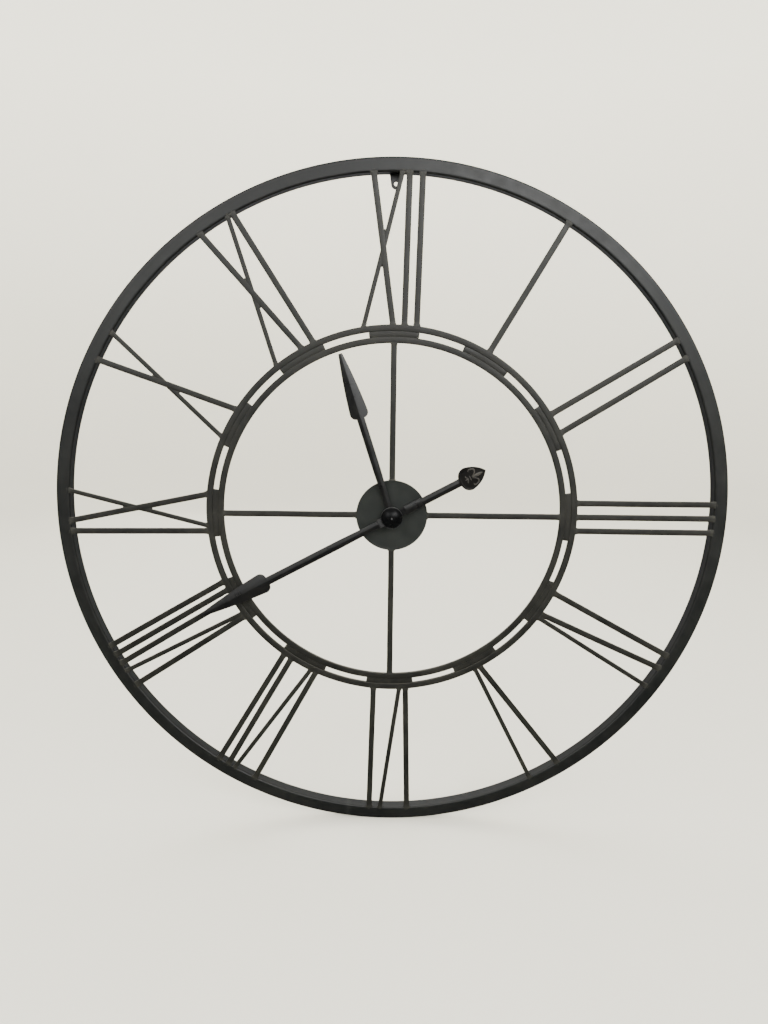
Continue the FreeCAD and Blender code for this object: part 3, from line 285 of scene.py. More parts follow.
class Nodes:
    """A short way to write a material's node tree."""

    def __init__(self, name, **sockets):
        self.material = bpy.data.materials.new(name)
        self.material.use_nodes = True
        self.tree = self.material.node_tree
        self.shader = self.tree.nodes["Principled BSDF"]
        for socket, number in sockets.items():
            self.shader.inputs[socket.replace("_", " ")].default_value = number
        self.where = self.tree.nodes.new("ShaderNodeTexCoord").outputs["Object"]

    def put(self, socket, value):
        """Connect an output to an input, or set its number."""
        if isinstance(value, bpy.types.NodeSocket):
            self.tree.links.new(value, socket)
        else:
            socket.default_value = value

    def node(self, kind, output, inputs, **settings):
        """Make a node, fill its settings and inputs, and give one of its outputs."""
        node = self.tree.nodes.new(kind)
        for name, value in settings.items():
            setattr(node, name, value)
        for socket, value in inputs.items():
            self.put(node.inputs[socket], value)
        return node.outputs[output]

    def noise(self, scale, detail=3.0, rough=0.55, stretch=None):
        where = self.where
        if stretch:
            where = self.node("ShaderNodeMapping", "Vector", {"Scale": stretch, "Vector": where})
        return self.node("ShaderNodeTexNoise", "Fac", {
            "Vector": where, "Scale": scale, "Detail": detail, "Roughness": rough})

    def cells(self, scale):
        return self.node("ShaderNodeTexVoronoi", "Distance", {"Vector": self.where, "Scale": scale})

    def ramp(self, value, low, high, to_low=0.0, to_high=1.0):
        return self.node("ShaderNodeMapRange", "Result", {
            "Value": value, "From Min": low, "From Max": high, "To Min": to_low, "To Max": to_high})

    def plus(self, first, second):
        return self.node("ShaderNodeMath", 0, {0: first, 1: second}, operation="ADD")

    def times(self, first, second):
        return self.node("ShaderNodeMath", 0, {0: first, 1: second}, operation="MULTIPLY")

    def mix(self, factor, first, second):
        return self.node("ShaderNodeMix", "Result", {
            "Factor": factor, "A": colour(first), "B": colour(second)}, data_type="RGBA")

    def facing(self, direction):
        """How far the surface faces a direction of the row frame, from -1 to 1."""
        normal = self.node("ShaderNodeNewGeometry", "Normal", {})
        return self.node("ShaderNodeVectorMath", "Value", {0: normal, 1: direction},
            operation="DOT_PRODUCT")

    def edges(self, low=0.52, high=0.62):
        """Convex edges, from the mesh's pointiness."""
        return self.ramp(self.node("ShaderNodeNewGeometry", "Pointiness", {}), low, high)

    def painted(self, name):
        return self.node("ShaderNodeAttribute", "Fac", {}, attribute_name=name)

    def bump(self, height, distance, strength=1.0, under=None):
        inputs = {"Strength": strength, "Distance": distance, "Height": height}
        if under is not None:
            inputs["Normal"] = under
        return self.node("ShaderNodeBump", "Normal", inputs)

    def finish(self, base, rough, normal):
        self.put(self.shader.inputs["Base Color"], colour(base))
        self.put(self.shader.inputs["Roughness"], rough)
        self.put(self.shader.inputs["Normal"], normal)
        return self.material


def colour(value):
    """A colour with its alpha; anything else as it is."""
    return (*value, 1.0) if isinstance(value, tuple) and len(value) == 3 else value


def shade(base, factor, lift=0.0):
    """A lighter or darker shade of a colour."""
    return tuple(min(1.0, number * factor + lift) for number in base)


def coated(name, dark, light, rough=(0.36, 0.5), dust_and_top_light=0.5, grain=900.0, level=0.35, wear=0.35,
        dust_and_top_light_tint=(0.085, 0.08, 0.062)):
    """Powder coat or lacquer over steel: uneven tone, orange peel, rubbed edges, and a pale tint on
    upward faces that is partly dust and partly painted light from above.
    """
    n = Nodes(name, Specular_IOR_Level=level)
    broad = n.noise(7.0, 4.0, 0.6)
    fine = n.noise(60.0, 4.0, 0.6)
    peel = n.noise(grain, 2.0, 0.5)
    tone = n.plus(n.times(broad, 0.65), n.times(fine, 0.35))
    base = n.mix(n.ramp(tone, 0.35, 0.66), dark, light)
    rubbed = n.times(n.edges(), n.ramp(n.noise(130.0, 3.0), 0.42, 0.6, 0.0, wear))
    base = n.mix(rubbed, base, shade(light, 2.6, 0.01))
    heat = n.times(n.painted("weld"), n.ramp(n.noise(400.0, 3.0), 0.3, 0.7, 0.1, 0.75))
    base = n.mix(heat, base, shade(light, 1.5, 0.006))
    # Upward faces get a paler tint: partly settled dust, partly painted light falling from above.
    dust_and_top_light_mask = n.times(n.ramp(n.facing((0.0, 0.0, 1.0)), 0.25, 0.95),
        n.ramp(n.noise(38.0, 6.0, 0.7), 0.32, 0.7, 0.25, 1.0))
    dust_and_top_light_mask = n.times(dust_and_top_light_mask, dust_and_top_light)
    base = n.mix(dust_and_top_light_mask, base, dust_and_top_light_tint)
    specks = n.ramp(n.cells(420.0), 0.0, 0.09, 0.35, 0.0)
    base = n.mix(n.times(specks, n.ramp(n.noise(25.0), 0.5, 0.7)), base, dust_and_top_light_tint)
    roughness = n.plus(n.ramp(fine, 0.3, 0.7, *rough), n.times(dust_and_top_light_mask, 0.35))
    scratches = n.ramp(n.noise(55.0, 5.0, 0.7, stretch=(9.0, 9.0, 1.0)), 0.66, 0.72, 0.0, 0.12)
    roughness = n.plus(roughness, scratches)
    normal = n.bump(peel, 0.00012, 0.35)
    normal = n.bump(fine, 0.0006, 0.12, under=normal)
    normal = n.bump(n.times(n.painted("weld"), n.noise(700.0, 3.0)), 0.0012, 0.6, under=normal)
    return n.finish(base, roughness, normal)


def moulded(name, dark, light, rough=(0.45, 0.62), grain=2200.0, depth=0.0002, sheen=0.4, **more):
    """Moulded plastic: faint flow marks, a fine spark-eroded texture, scuffs."""
    n = Nodes(name, Specular_IOR_Level=sheen, **more)
    flow = n.noise(35.0, 3.0, 0.5, stretch=(1.0, 1.0, 3.0))
    scuff = n.ramp(n.noise(160.0, 6.0, 0.75), 0.58, 0.72, 0.0, 0.5)
    base = n.mix(n.ramp(flow, 0.35, 0.65), dark, light)
    base = n.mix(n.times(scuff, 0.5), base, shade(light, 1.5, 0.02))
    base = n.mix(n.times(n.edges(), 0.3), base, shade(light, 1.7, 0.02))
    roughness = n.plus(n.ramp(n.noise(300.0), 0.3, 0.7, *rough), n.times(scuff, 0.2))
    return n.finish(base, roughness, n.bump(n.noise(grain, 2.0), depth, 0.5))


def metal(name, dark, light, rough=(0.22, 0.4), brushed=(1.0, 1.0, 1.0), lines=300.0, tarnish=0.3):
    """Bare metal: brushed or turned lines, tarnish in patches, bright edges."""
    n = Nodes(name, Metallic=1.0)
    streaks = n.noise(lines, 3.0, 0.6, stretch=brushed)
    patches = n.ramp(n.noise(90.0, 5.0, 0.65), 0.45, 0.7, 0.0, tarnish)
    base = n.mix(n.ramp(streaks, 0.3, 0.7), dark, light)
    base = n.mix(patches, base, shade(dark, 0.35))
    base = n.mix(n.times(n.edges(), 0.5), base, shade(light, 1.2))
    roughness = n.plus(n.ramp(streaks, 0.3, 0.7, *rough), n.times(patches, 0.5))
    return n.finish(base, roughness, n.bump(streaks, 0.00015, 0.35))


STEEL = coated("powder_coat", (0.0034, 0.004, 0.004), (0.0082, 0.009, 0.0086), rough=(0.36, 0.48),
    level=0.38, dust_and_top_light=0.2, dust_and_top_light_tint=(0.033, 0.032, 0.025))
BARS = coated("powder_coat_bars", (0.0044, 0.0047, 0.0038), (0.0125, 0.0124, 0.0096), level=0.4,
    rough=(0.4, 0.56), dust_and_top_light=0.5)
PLATE = coated("powder_coat_plate", (0.0058, 0.0078, 0.007), (0.0105, 0.0131, 0.012),
    rough=(0.38, 0.5), level=0.42, grain=1300.0, dust_and_top_light=0.2)
HAND = coated("hand_lacquer", (0.0022, 0.0022, 0.0024), (0.0052, 0.0052, 0.0053), rough=(0.26, 0.36),
    level=0.5, dust_and_top_light=0.12, grain=1500.0)
LEAF = coated("leaf_lacquer", (0.0022, 0.0021, 0.002), (0.0055, 0.0052, 0.005), rough=(0.24, 0.36),
    level=0.2, dust_and_top_light=0.05, grain=1200.0, wear=0.6)
# The sprig is coloured lighter than the leaf plate: partly rubbed paint, partly a painted highlight.
SPRIG = coated("leaf_relief", (0.012, 0.0115, 0.011), (0.032, 0.03, 0.027), rough=(0.3, 0.42),
    level=0.4, dust_and_top_light=0.1, grain=1200.0, wear=1.0)
CAP = coated("cap_gloss", (0.0012, 0.0013, 0.0016), (0.003, 0.0032, 0.0036), rough=(0.24, 0.34),
    level=0.1, dust_and_top_light=0.03, grain=2500.0, wear=0.15)
# A painted highlight: the full pale tint on the rim's upward faces stands in for a light arc along its
# top.
CAP_RIM = coated("cap_rim_painted_highlight", (0.002, 0.0021, 0.0024), (0.005, 0.0052, 0.0058), level=0.3,
    rough=(0.24, 0.34), dust_and_top_light=1.0, grain=2500.0, wear=0.1, dust_and_top_light_tint=(0.19, 0.195, 0.2))
# A painted glint: the bright spot on the crown of the dome stands in for a reflected light.
CAP_CROWN = coated("cap_crown_painted_glint", (0.024, 0.025, 0.027), (0.046, 0.047, 0.05), level=0.6,
    rough=(0.3, 0.4), dust_and_top_light=0.0, grain=2500.0)
CASE = moulded("case_plastic", (0.009, 0.009, 0.0095), (0.017, 0.017, 0.018))
KNOB = moulded("knob_plastic", (0.1, 0.1, 0.105), (0.17, 0.17, 0.175), rough=(0.4, 0.55))
GEAR = moulded("gear_acetal", (0.66, 0.64, 0.58), (0.8, 0.78, 0.72), rough=(0.35, 0.5))
BOBBIN = moulded("bobbin_nylon", (0.6, 0.56, 0.46), (0.74, 0.7, 0.6), rough=(0.4, 0.55))
BOARD = moulded("solder_mask", (0.02, 0.1, 0.045), (0.035, 0.16, 0.07), rough=(0.2, 0.35))
CHIP = moulded("epoxy_blob", (0.008, 0.008, 0.008), (0.018, 0.018, 0.017), rough=(0.25, 0.4))
RUBBER = moulded("rubber", (0.01, 0.01, 0.01), (0.022, 0.022, 0.021), rough=(0.7, 0.88),
    grain=900.0, depth=0.0004)
JACKET = moulded("cell_jacket", (0.028, 0.036, 0.055), (0.045, 0.056, 0.082), rough=(0.2, 0.32),
    depth=0.00008, Coat_Weight=0.4)
JACKET_BAND = moulded("cell_band", (0.34, 0.3, 0.2), (0.46, 0.41, 0.28), rough=(0.22, 0.34),
    depth=0.00008, Coat_Weight=0.4)
BRASS = metal("turned_brass", (0.5, 0.36, 0.15), (0.74, 0.58, 0.3), lines=500.0)
IRON = metal("stamped_iron", (0.3, 0.3, 0.31), (0.52, 0.52, 0.53), rough=(0.35, 0.55))
TIN = metal("tinned_can", (0.45, 0.45, 0.46), (0.68, 0.68, 0.69), rough=(0.2, 0.35))
SPRING = metal("nickel_spring", (0.42, 0.41, 0.38), (0.66, 0.64, 0.6), rough=(0.18, 0.34))
COPPER = metal("copper_winding", (0.32, 0.11, 0.05), (0.62, 0.26, 0.13), rough=(0.3, 0.45),
    brushed=(14.0, 1.0, 1.0), lines=420.0, tarnish=0.2)

CAD_FINISH = {
    CASE: "movement_case movement_back_cover", KNOB: "setting_knob", RUBBER: "rubber_washer",
    GEAR: "minute_wheel hour_wheel third_wheel second_wheel step_wheel", BOBBIN: "coil_bobbin",
    BRASS: "centre_wheel minute_arbor brass_washer hub_nut", IRON: "rotor stator coil_core",
    COPPER: "coil_winding", BOARD: "circuit_board", CHIP: "clock_chip", TIN: "quartz_crystal",
    SPRING: "battery_contact_plus battery_contact_minus",
    HAND: "hour_hand_collet minute_hand_collar",
}
SOFT_EDGES = {"movement_case": 0.35, "movement_back_cover": 0.3, "setting_knob": 0.12,
    "brass_washer": 0.12, "hub_nut": 0.3, "rubber_washer": 0.2, "stator": 0.1,
    "coil_bobbin": 0.15, "circuit_board": 0.08, "hour_hand_collet": 0.2,
    "minute_hand_collar": 0.2, "battery_contact_plus": 0.1}


def finish_cad_nodes():
    """Materials for the CAD nodes that stay, and small round edges on the larger ones."""
    finish = {node: material for material, nodes in CAD_FINISH.items() for node in nodes.split()}
    for node, material in finish.items():
        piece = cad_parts[node]
        piece.data.materials.clear()
        piece.data.materials.append(material)
        if node in SOFT_EDGES:
            bevel = piece.modifiers.new("round_edges", "BEVEL")
            bevel.width = SOFT_EDGES[node] * MM
            bevel.segments = 2
            bevel.limit_method = "ANGLE"
            bevel.angle_limit = radians(40)


# ---- the welded frame ----

def ring():
    """The rolled tube. Its faces sag in a little between the corners, as rolled tube does."""
    shape, steps = Shape(), 432
    corner, sag_of_wall, sag_of_front, seam_clock = 3.0, 0.22, 0.16, 187.5
    middle, half = (RING_INNER + RING_OUTER) / 2, TUBE / 2
    profile = rounded(RING_INNER, RING_OUTER, 0, TUBE, corner, steps=6, side=6)
    rings, heat = [], []
    for clock in clocks(steps):
        points = []
        for radius, level in profile:
            a, b = (radius - middle) / half, (level - half) / half
            worn = 0.05 + 0.05 * ripple(*circle(500, radians(clock)), level, 60)
            radius -= copysign(1, a) * abs(a) ** 8 * (sag_of_wall * (1 - b * b) + worn)
            level -= copysign(1, b) * abs(b) ** 8 * (sag_of_front * (1 - a * a) + worn)
            points.append(polar(radius, clock, level))
        rings.append(points)
        heat.append(1.0 if abs(clock - seam_clock) < 0.6 else 0.0)
    shape.loft(rings, closed=True, weld=heat)
    shape.finish("ring_tube", "frame", STEEL, "outer_ring", slot="steel_black")


def hoop(name, node, radius):
    """A flat bar rolled on edge, with softened corners and a faint ripple."""
    shape, steps = Shape(), 300
    profile = rounded(radius - HOOP_WIDTH - COAT, radius + COAT, HOOP_BACK, FRONT, 0.9, steps=4)
    rings = []
    for clock in clocks(steps):
        wave = 0.12 * ripple(*circle(radius, radians(clock)), 3, 45) - 0.12
        rings.append([polar(r, clock, level + wave * 0.6) for r, level in profile])
    shape.loft(rings, closed=True)
    shape.finish(name, "frame", BARS, node, slot="steel_black")


def spacers():
    """Short arcs pressed in between the hoops, with a tack of weld at each end."""
    shape = Shape()
    inner, outer = INNER_HOOP - 0.1, OUTER_HOOP - HOOP_WIDTH + 0.1
    for hour in range(12):
        profile = rounded(inner, outer, SPACER_BACK, SPACER_FRONT, 0.5, steps=3)
        middle_r, middle_l = (inner + outer) / 2, (SPACER_BACK + SPACER_FRONT) / 2
        rings, steps = [], 26
        for i in range(steps + 1):
            share = 2.0 * i / steps - 1
            pinch = 1.0 if abs(share) < 0.999 else 0.82
            rings.append([polar(middle_r + (r - middle_r) * pinch, 30.0 * hour + SPACER_REACH * share,
                middle_l + (level - middle_l) * pinch) for r, level in profile])
        shape.loft(rings)
        for side in (-1, 1):
            for radius in (INNER_HOOP + 0.2, OUTER_HOOP - HOOP_WIDTH - 0.2):
                clock = radians(30.0 * hour
                    + side * (SPACER_REACH - 1.0 - 0.3 * chance.random()))
                spot = circle(radius, clock)
                way = 1.4 + chance.random()
                end = (spot[0] + way * cos(clock), spot[1] - way * sin(clock))
                bead(shape, spot, end, 0.7, 17.6, 19.35)
    shape.finish("spacer_arcs", "frame", BARS, "hoop_spacers", slot="steel_black", crease=50)


class Stroke:
    """The centre line of one bar, in the frame of its clock angle."""

    def __init__(self, clock, width, outer_offset, inner_offset, outer, inner):
        self.clock, self.half = clock, width / 2 + COAT
        self.outer, self.inner = outer, inner
        self.offsets = (outer_offset, inner_offset)
        self.seed = chance.random() * 100

    def across(self, along):
        share = (along - self.inner) / (self.outer - self.inner)
        return self.offsets[1] + (self.offsets[0] - self.offsets[1]) * share

    def slope(self):
        return (self.offsets[0] - self.offsets[1]) / (self.outer - self.inner)


def strap(shape, stroke, run_in=1.6, run_out=3.2, flare=1.1, front=FRONT, back=BAR_BACK):
    """A flat bar: soft edges, a faint bow, and a weld fillet that widens it at both ends."""
    near = sqrt(stroke.inner ** 2 - stroke.across(stroke.inner) ** 2)
    far = sqrt(stroke.outer ** 2 - stroke.across(stroke.outer) ** 2)
    start, end = near - run_in, far + run_out
    places = [start + 0.8 * i for i in range(14)]
    places += [places[-1] + (end - 11.0 - places[-1]) * (i + 1) / 24 for i in range(24)]
    places += [end - 10.2 + 0.85 * i for i in range(13)]
    reach = [3.6 + 2.2 * chance.random() for i in range(4)]
    swell = [flare * (0.7 + 0.5 * chance.random()) for i in range(4)]
    rings, heat = [], []
    for along in places:
        bow = 0.22 * ripple(along, stroke.seed, 0, 70)
        centre = stroke.across(along) + bow
        sides, hot = [], 0.0
        for side in (0, 1):
            wide = stroke.half
            for wall, way, k in ((near, 1, 0), (far, -1, 1)):
                gap = max(0.0, (along - wall) * way)
                share = max(0.0, 1 - gap / reach[2 * side + k])
                wide += swell[2 * side + k] * share ** 2.2
                hot = max(hot, share)
            sides.append(wide + 0.08 * ripple(along, stroke.seed, 9 * side, 4))
        dip = 0.05 + max(0.0, (along - far - 1.2) * 0.16) + max(0.0, (near - along) * 0.35)
        dip += 0.06 * ripple(along, stroke.seed, 5, 30)
        section = rounded(-sides[0], sides[1], back + 0.05, front - dip, 0.75, steps=3)
        rings.append([beside(stroke.clock, centre + a, along, level) for a, level in section])
        heat.append(hot)
    shape.loft(rings, weld=heat)
    return near, far


def end_bead(shape, stroke, along, spread, half_width, back, front):
    """A run of weld across the end of a bar."""
    turn = radians(stroke.clock)
    centre = stroke.across(along)
    ends = []
    for side in (-1, 1):
        across = centre + side * (stroke.half + spread)
        reach = along - (across ** 2 - centre ** 2) / (2 * along)
        ends.append((reach * sin(turn) + across * cos(turn),
            reach * cos(turn) - across * sin(turn)))
    bead(shape, ends[0], ends[1], half_width, back, front)


def web(shape, first, second):
    """Weld that fills the two narrow corners where one bar crosses another."""
    lean = second.slope() - first.slope()
    crossing = first.inner + (first.across(first.inner) - second.across(first.inner)) / lean
    touch = (first.half + second.half) / abs(lean)
    for way in (-1, 1):
        length = 2.4 / abs(lean)
        rings = []
        for i in range(10):
            share = i / 9
            along = crossing + way * (touch - 2.0 + (length + 2.0) * share)
            a, b = first.across(along), second.across(along)
            low, high = ((a + first.half, b - second.half) if a < b
                else (b + second.half, a - first.half))
            middle, half = (low + high) / 2, abs(high - low) / 2 + 0.5
            half = max(0.15, half * (1 - 0.55 * share ** 3))
            section = rounded(-half, half, BAR_BACK + 0.3 + share, FRONT - 0.25 - 0.9 * share ** 2,
                0.5, steps=2)
            rings.append([beside(first.clock, middle + s, along, level) for s, level in section])
        shape.loft(rings, weld=1.0)


def numerals():
    """Bars from the ring to the larger hoop, one piece for each hour."""
    for hour, strokes in STROKES.items():
        shape = Shape()
        bars = [Stroke(30.0 * hour, width, outer, inner, RING_INNER, OUTER_HOOP)
            for width, outer, inner in strokes]
        for count, bar in enumerate(bars):
            under = hour in CROSSED and CROSSED[hour][1] == count
            strap(shape, bar, front=FRONT - (0.3 if under else 0.0),
                back=BAR_BACK + (0.25 if under else 0.0))
            end_bead(shape, bar, RING_INNER + 2.9, 0.3, 1.0, 18.6, 20.0)
            end_bead(shape, bar, OUTER_HOOP + 0.1, 1.0, 0.9, 16.5, 19.95)
        if hour in CROSSED:
            first, second = CROSSED[hour]
            web(shape, bars[first], bars[second])
        shape.finish("numeral_bars_%02d" % hour, "frame", BARS, "numeral_%02d" % hour,
            slot="steel_black", crease=50)


def spoke_bars():
    """Bars from the smaller hoop to behind the hub plate, tacked to the plate's edge."""
    for side, clock in (("top", 0), ("right", 90), ("bottom", 180), ("left", 270)):
        shape = Shape()
        bar = Stroke(clock, WIDE, 0, 0, INNER_HOOP - HOOP_WIDTH, SPOKE_ROOT)
        strap(shape, bar, run_in=0.0, run_out=1.6, flare=1.0)
        end_bead(shape, bar, INNER_HOOP - HOOP_WIDTH - 0.1, 1.0, 0.9, 16.5, 19.95)
        end_bead(shape, bar, PLATE_RADIUS + 0.7, 1.5, 1.5, 18.2, 21.3)
        shape.finish("spoke_bar_" + side, "frame", BARS, "spoke_" + side, slot="steel_black",
            crease=50)


def plate():
    """The hub plate, pressed from sheet, with a soft front edge and a faint unevenness."""
    shape, steps = Shape(), 128
    hole, edge = 4.1, 1.1
    flat = (hole + 0.2, PLATE_RADIUS - edge)
    profile = [(hole, PLATE_BACK), (hole, PLATE_FRONT - 0.1), (flat[0], PLATE_FRONT)]
    profile += [(flat[0] + (flat[1] - flat[0]) * i / 14, PLATE_FRONT) for i in range(1, 15)]
    profile += [(flat[1] + edge * sin(radians(t)),
        PLATE_FRONT - edge + edge * cos(radians(t))) for t in range(15, 91, 15)]
    profile += [(PLATE_RADIUS, PLATE_BACK + 0.3), (PLATE_RADIUS - 0.3, PLATE_BACK)]
    rings = []
    for clock in clocks(steps):
        points = []
        for radius, level in profile:
            if level > PLATE_FRONT - 0.01 and radius > 8.5:
                level -= 0.10 + 0.09 * ripple(*circle(radius, radians(clock)), 0, 26)
            points.append(polar(radius, clock, level))
        rings.append(points)
    shape.loft(rings, closed=True)
    shape.finish("hub_disc", "frame", PLATE, "hub_plate", slot="plate_black")


def drilled(shape, centre, hole, reach, back, front, edge=0.3, steps=72):
    """A plate with a round hole; reach gives its edge's distance from the hole by clock angle."""
    rings = []
    for clock in clocks(steps):
        far = reach(clock)
        profile = [(hole, back + edge), (hole, front - edge), (hole + edge, front),
            (far - edge, front), (far, front - edge), (far, back + edge),
            (far - edge, back), (hole + edge, back)]
        rings.append([at(*circle(radius, radians(clock), centre), level)
            for radius, level in profile])
    shape.loft(rings, closed=True)


def hanger():
    """The hanging tab inside the ring, with a bead of weld where it meets the tube."""
    hang = -DIAL.z / MM

    def reach(clock):
        turn = radians(clock)
        up, side = cos(turn), abs(sin(turn))
        if up <= 0:
            return 7.0
        top = (RING_INNER + 0.4 - hang) / up
        lean = side - 0.16 * up
        return min(top, 7.0 / lean) if lean > 0.05 else top

    shape = Shape()
    drilled(shape, (0.0, hang), 3.0, reach, 0.05, 2.95, steps=120)
    bead(shape, (-9.0, RING_INNER - 0.6), (9.0, RING_INNER - 0.6), 1.1, 1.0, 3.7)
    shape.finish("hanger_plate", "frame", STEEL, "hanger_tab", slot="steel_black")


# ---- the hands ----

def smooth(share):
    share = min(1.0, max(0.0, share))
    return share * share * (3 - 2 * share)


def arc_between(start, end, radius, along):
    """Half width on an arc that bulges outwards between two (along, half width) points."""
    (x0, y0), (x1, y1) = start, end
    length = hypot(x1 - x0, y1 - y0)
    middle = ((x0 + x1) / 2, (y0 + y1) / 2)
    rise = sqrt(radius ** 2 - (length / 2) ** 2)
    normal = (-(y1 - y0) / length, (x1 - x0) / length)
    centre = (middle[0] - normal[0] * rise, middle[1] - normal[1] * rise)
    return centre[1] + sqrt(max(0.0, radius ** 2 - (along - centre[0]) ** 2))


class Blade(namedtuple("Blade", "neck shoulder arm root widest spade length tip")):
    """The outline of a spade hand: arm, spade and tip are half widths, the others are distances.

    neck holds both, for where the arm starts."""

    def half(self, along):
        if along < self.shoulder:
            return self.neck[1] + (self.arm - self.neck[1]) * max(
                0.0, (along - self.neck[0]) / (self.shoulder - self.neck[0]))
        if along <= self.root:
            return self.arm
        if along < self.widest:
            return arc_between((self.root, self.arm), (self.widest, self.spade),
                (self.widest - self.root) * 0.85, along)
        return arc_between((self.widest, self.spade), (self.length, self.tip),
            self.length * 3.4, along)

    def places(self, start):
        steps = [start + (self.root - 0.05 - start) * i / 40 for i in range(41)]
        cheek = self.widest - self.root
        steps += [self.root + cheek * (1 - cos(pi / 2 * i / 12)) for i in range(13)]
        steps += [self.widest + (self.length - 0.6 - self.widest) * i / 26 for i in range(1, 27)]
        return steps + [self.length - 0.2, self.length]


def sheet_section(half, ridge, fold, pinch=0.0):
    """A folded sheet across its ridge, as (across, level) points."""
    soft = min(0.7, half * 0.3)
    top = []
    for across in (-half, -half + 0.28, -half * 0.55, -soft, 0.0, soft, half * 0.55, half - 0.28,
            half):
        level = ridge - fold * abs(across)
        if abs(across) > half - 0.01:
            level -= 0.28
        if abs(across) < 0.01:
            level -= fold * soft * 0.45
        top.append((across, level - pinch))
    return top + [(across, ridge - fold * abs(across) - SHEET + pinch)
        for across in (half - 0.1, half * 0.55, 0.0, -half * 0.55, -half + 0.1)]


def hour_hand():
    shape = Shape()
    arm = 5.7
    blade = Blade((8.0, 4.0), 70.0, arm, 151.0, 161.0, 13.3, 247.0, 2.8)
    rings = []
    for along in blade.places(6.0):
        half = blade.half(along)
        if along > blade.length - 0.5:
            half -= 0.25
        pinch = 0.12 if along > blade.length - 0.1 else 0.0
        ridge = HOUR_RIDGE - 0.04 + 0.06 * ripple(along, 0, 0, 60)
        rings.append([beside(HOUR_REST, a, along, level)
            for a, level in sheet_section(half, ridge, FOLD, pinch)])
    shape.loft(rings)
    flat = HOUR_RIDGE - FOLD * arm
    drilled(shape, (0.0, 0.0), 3.02, lambda clock: 8.5, flat - SHEET, flat, edge=0.2)
    shape.finish("hour_blade", "hour_arm", HAND, "hour_hand", slot="hand_black", crease=12)


def minute_hand():
    """The long hand: flat under the cap and on the stub, a twisted land, then folded outwards."""
    shape = Shape()
    blade = Blade((24.0, 5.0), 90.0, 6.2, 209.0, 221.0, 15.2, 323.0, 2.7)
    rings = []
    stub, land, fold, wider = -40.0, 12.5, 21.3, 1.6
    for along in [stub, stub + 0.3, -30.0, -16.0, -9.0, 9.0, land, 13.3, 14.1, 17.5, 20.6, 21.4,
            22.6] + blade.places(25.4):
        bent = smooth((along - fold) / 1.2)
        half = blade.half(max(24.0, along))
        if along < fold + 0.2:
            half += wider * smooth((along - land) / 1.2)
        if along > blade.length - 0.5 or along < stub + 0.2:
            half -= 0.25
        ridge = MINUTE_FRONT + bent * (0.96 + 0.06 * ripple(along, 7, 0, 60))
        pinch = 0.12 if along > blade.length - 0.1 or along < stub + 0.2 else 0.0
        twist = -FOLD * smooth((along - land) / 1.5) * (1 - bent)
        rings.append([beside(MINUTE_REST, a, along, level + twist * a)
            for a, level in sheet_section(half, ridge, FOLD * bent, pinch)])
    shape.loft(rings)
    drilled(shape, (0.0, 0.0), 2.02, lambda clock: 9.0, MINUTE_FRONT - SHEET, MINUTE_FRONT, edge=0.2)
    shape.finish("minute_blade", "minute_arm", HAND, "minute_hand", slot="hand_black", crease=12)


def sleeve():
    """Sheet wrapped round the stub and the arm: a wide part, a step, and a tighter part."""
    shape = Shape()

    def part(start, end, half, back, front):
        rings = []
        for along, shrink in ((start, 0.35), (start + 0.35, 0.0), (end - 0.35, 0.0), (end, 0.35)):
            section = rounded(-half + shrink, half - shrink, back + shrink, front - shrink, 0.9,
                steps=5, side=4)
            rings.append([beside(MINUTE_REST, a, along, level - FOLD * abs(a) * 0.9
                * (level > (back + front) / 2)) for a, level in section])
        shape.loft(rings)

    part(-42.0, -23.0, 6.6, 34.3, 39.5)
    part(-50.0, -41.6, 6.35, 34.8, 39.25)
    seam = [beside(MINUTE_REST, 0.4, -24.0 - i * 1.3, 34.35) for i in range(20)]
    rings = [[point + Vector((0.0, 0.0004 * sin(t), 0.0003 * cos(t)))
        for t in (0.0, 1.57, 3.14, 4.71)] for point in seam]
    shape.loft(rings, weld=1.0)
    shape.finish("tail_sleeve_wrap", "minute_arm", HAND, "tail_sleeve", slot="hand_black")


def tail_arm():
    shape = Shape()
    rings, start, length, steps = [], -41.0, 77.0, 30
    for i in range(steps + 1):
        along = start - length * i / steps
        half = ARM_HALF - 0.25 * (i == steps)
        ridge = ARM_RIDGE - 0.04 + 0.05 * ripple(along, 3, 0, 40)
        rings.append([beside(MINUTE_REST, a, along, level)
            for a, level in sheet_section(half, ridge, FOLD)])
    shape.loft(rings)
    shape.finish("tail_strip", "minute_arm", HAND, "tail_arm", slot="hand_black", crease=12)


def leaf_half(along):
    """Half the width of the counterweight leaf at a distance from the centre."""
    widest, half = 125.0, 17.3
    if along <= widest:
        return arc_between((LEAF_ROOT, ARM_HALF), (widest, half), half * 0.78, max(LEAF_ROOT, along))
    return arc_between((widest, half), (LEAF_TIP, 0.0), half * 2.3, along)


def relief(shape, path, widths, height, base):
    """A raised, tapered stroke of ornament along (across, along) points."""
    rings, count = [], len(path)
    for i, (across, along) in enumerate(path):
        before, after = path[max(0, i - 1)], path[min(count - 1, i + 1)]
        run = Vector((after[0] - before[0], after[1] - before[1])).normalized()
        side = Vector((-run.y, run.x))
        wide = widths[i]
        ring = []
        for j in range(9):
            turn = pi * j / 8
            offset = side * (wide * cos(turn))
            rise = height * min(1.0, wide / 0.8) * sin(turn) ** 0.8
            ring.append(beside(MINUTE_REST, across + offset.x, -(along + offset.y), base + rise))
        for way in (-wide, wide):
            ring.append(beside(MINUTE_REST, across + side.x * way, -(along + side.y * way),
                base - 0.5))
        rings.append(ring)
    shape.loft(rings)


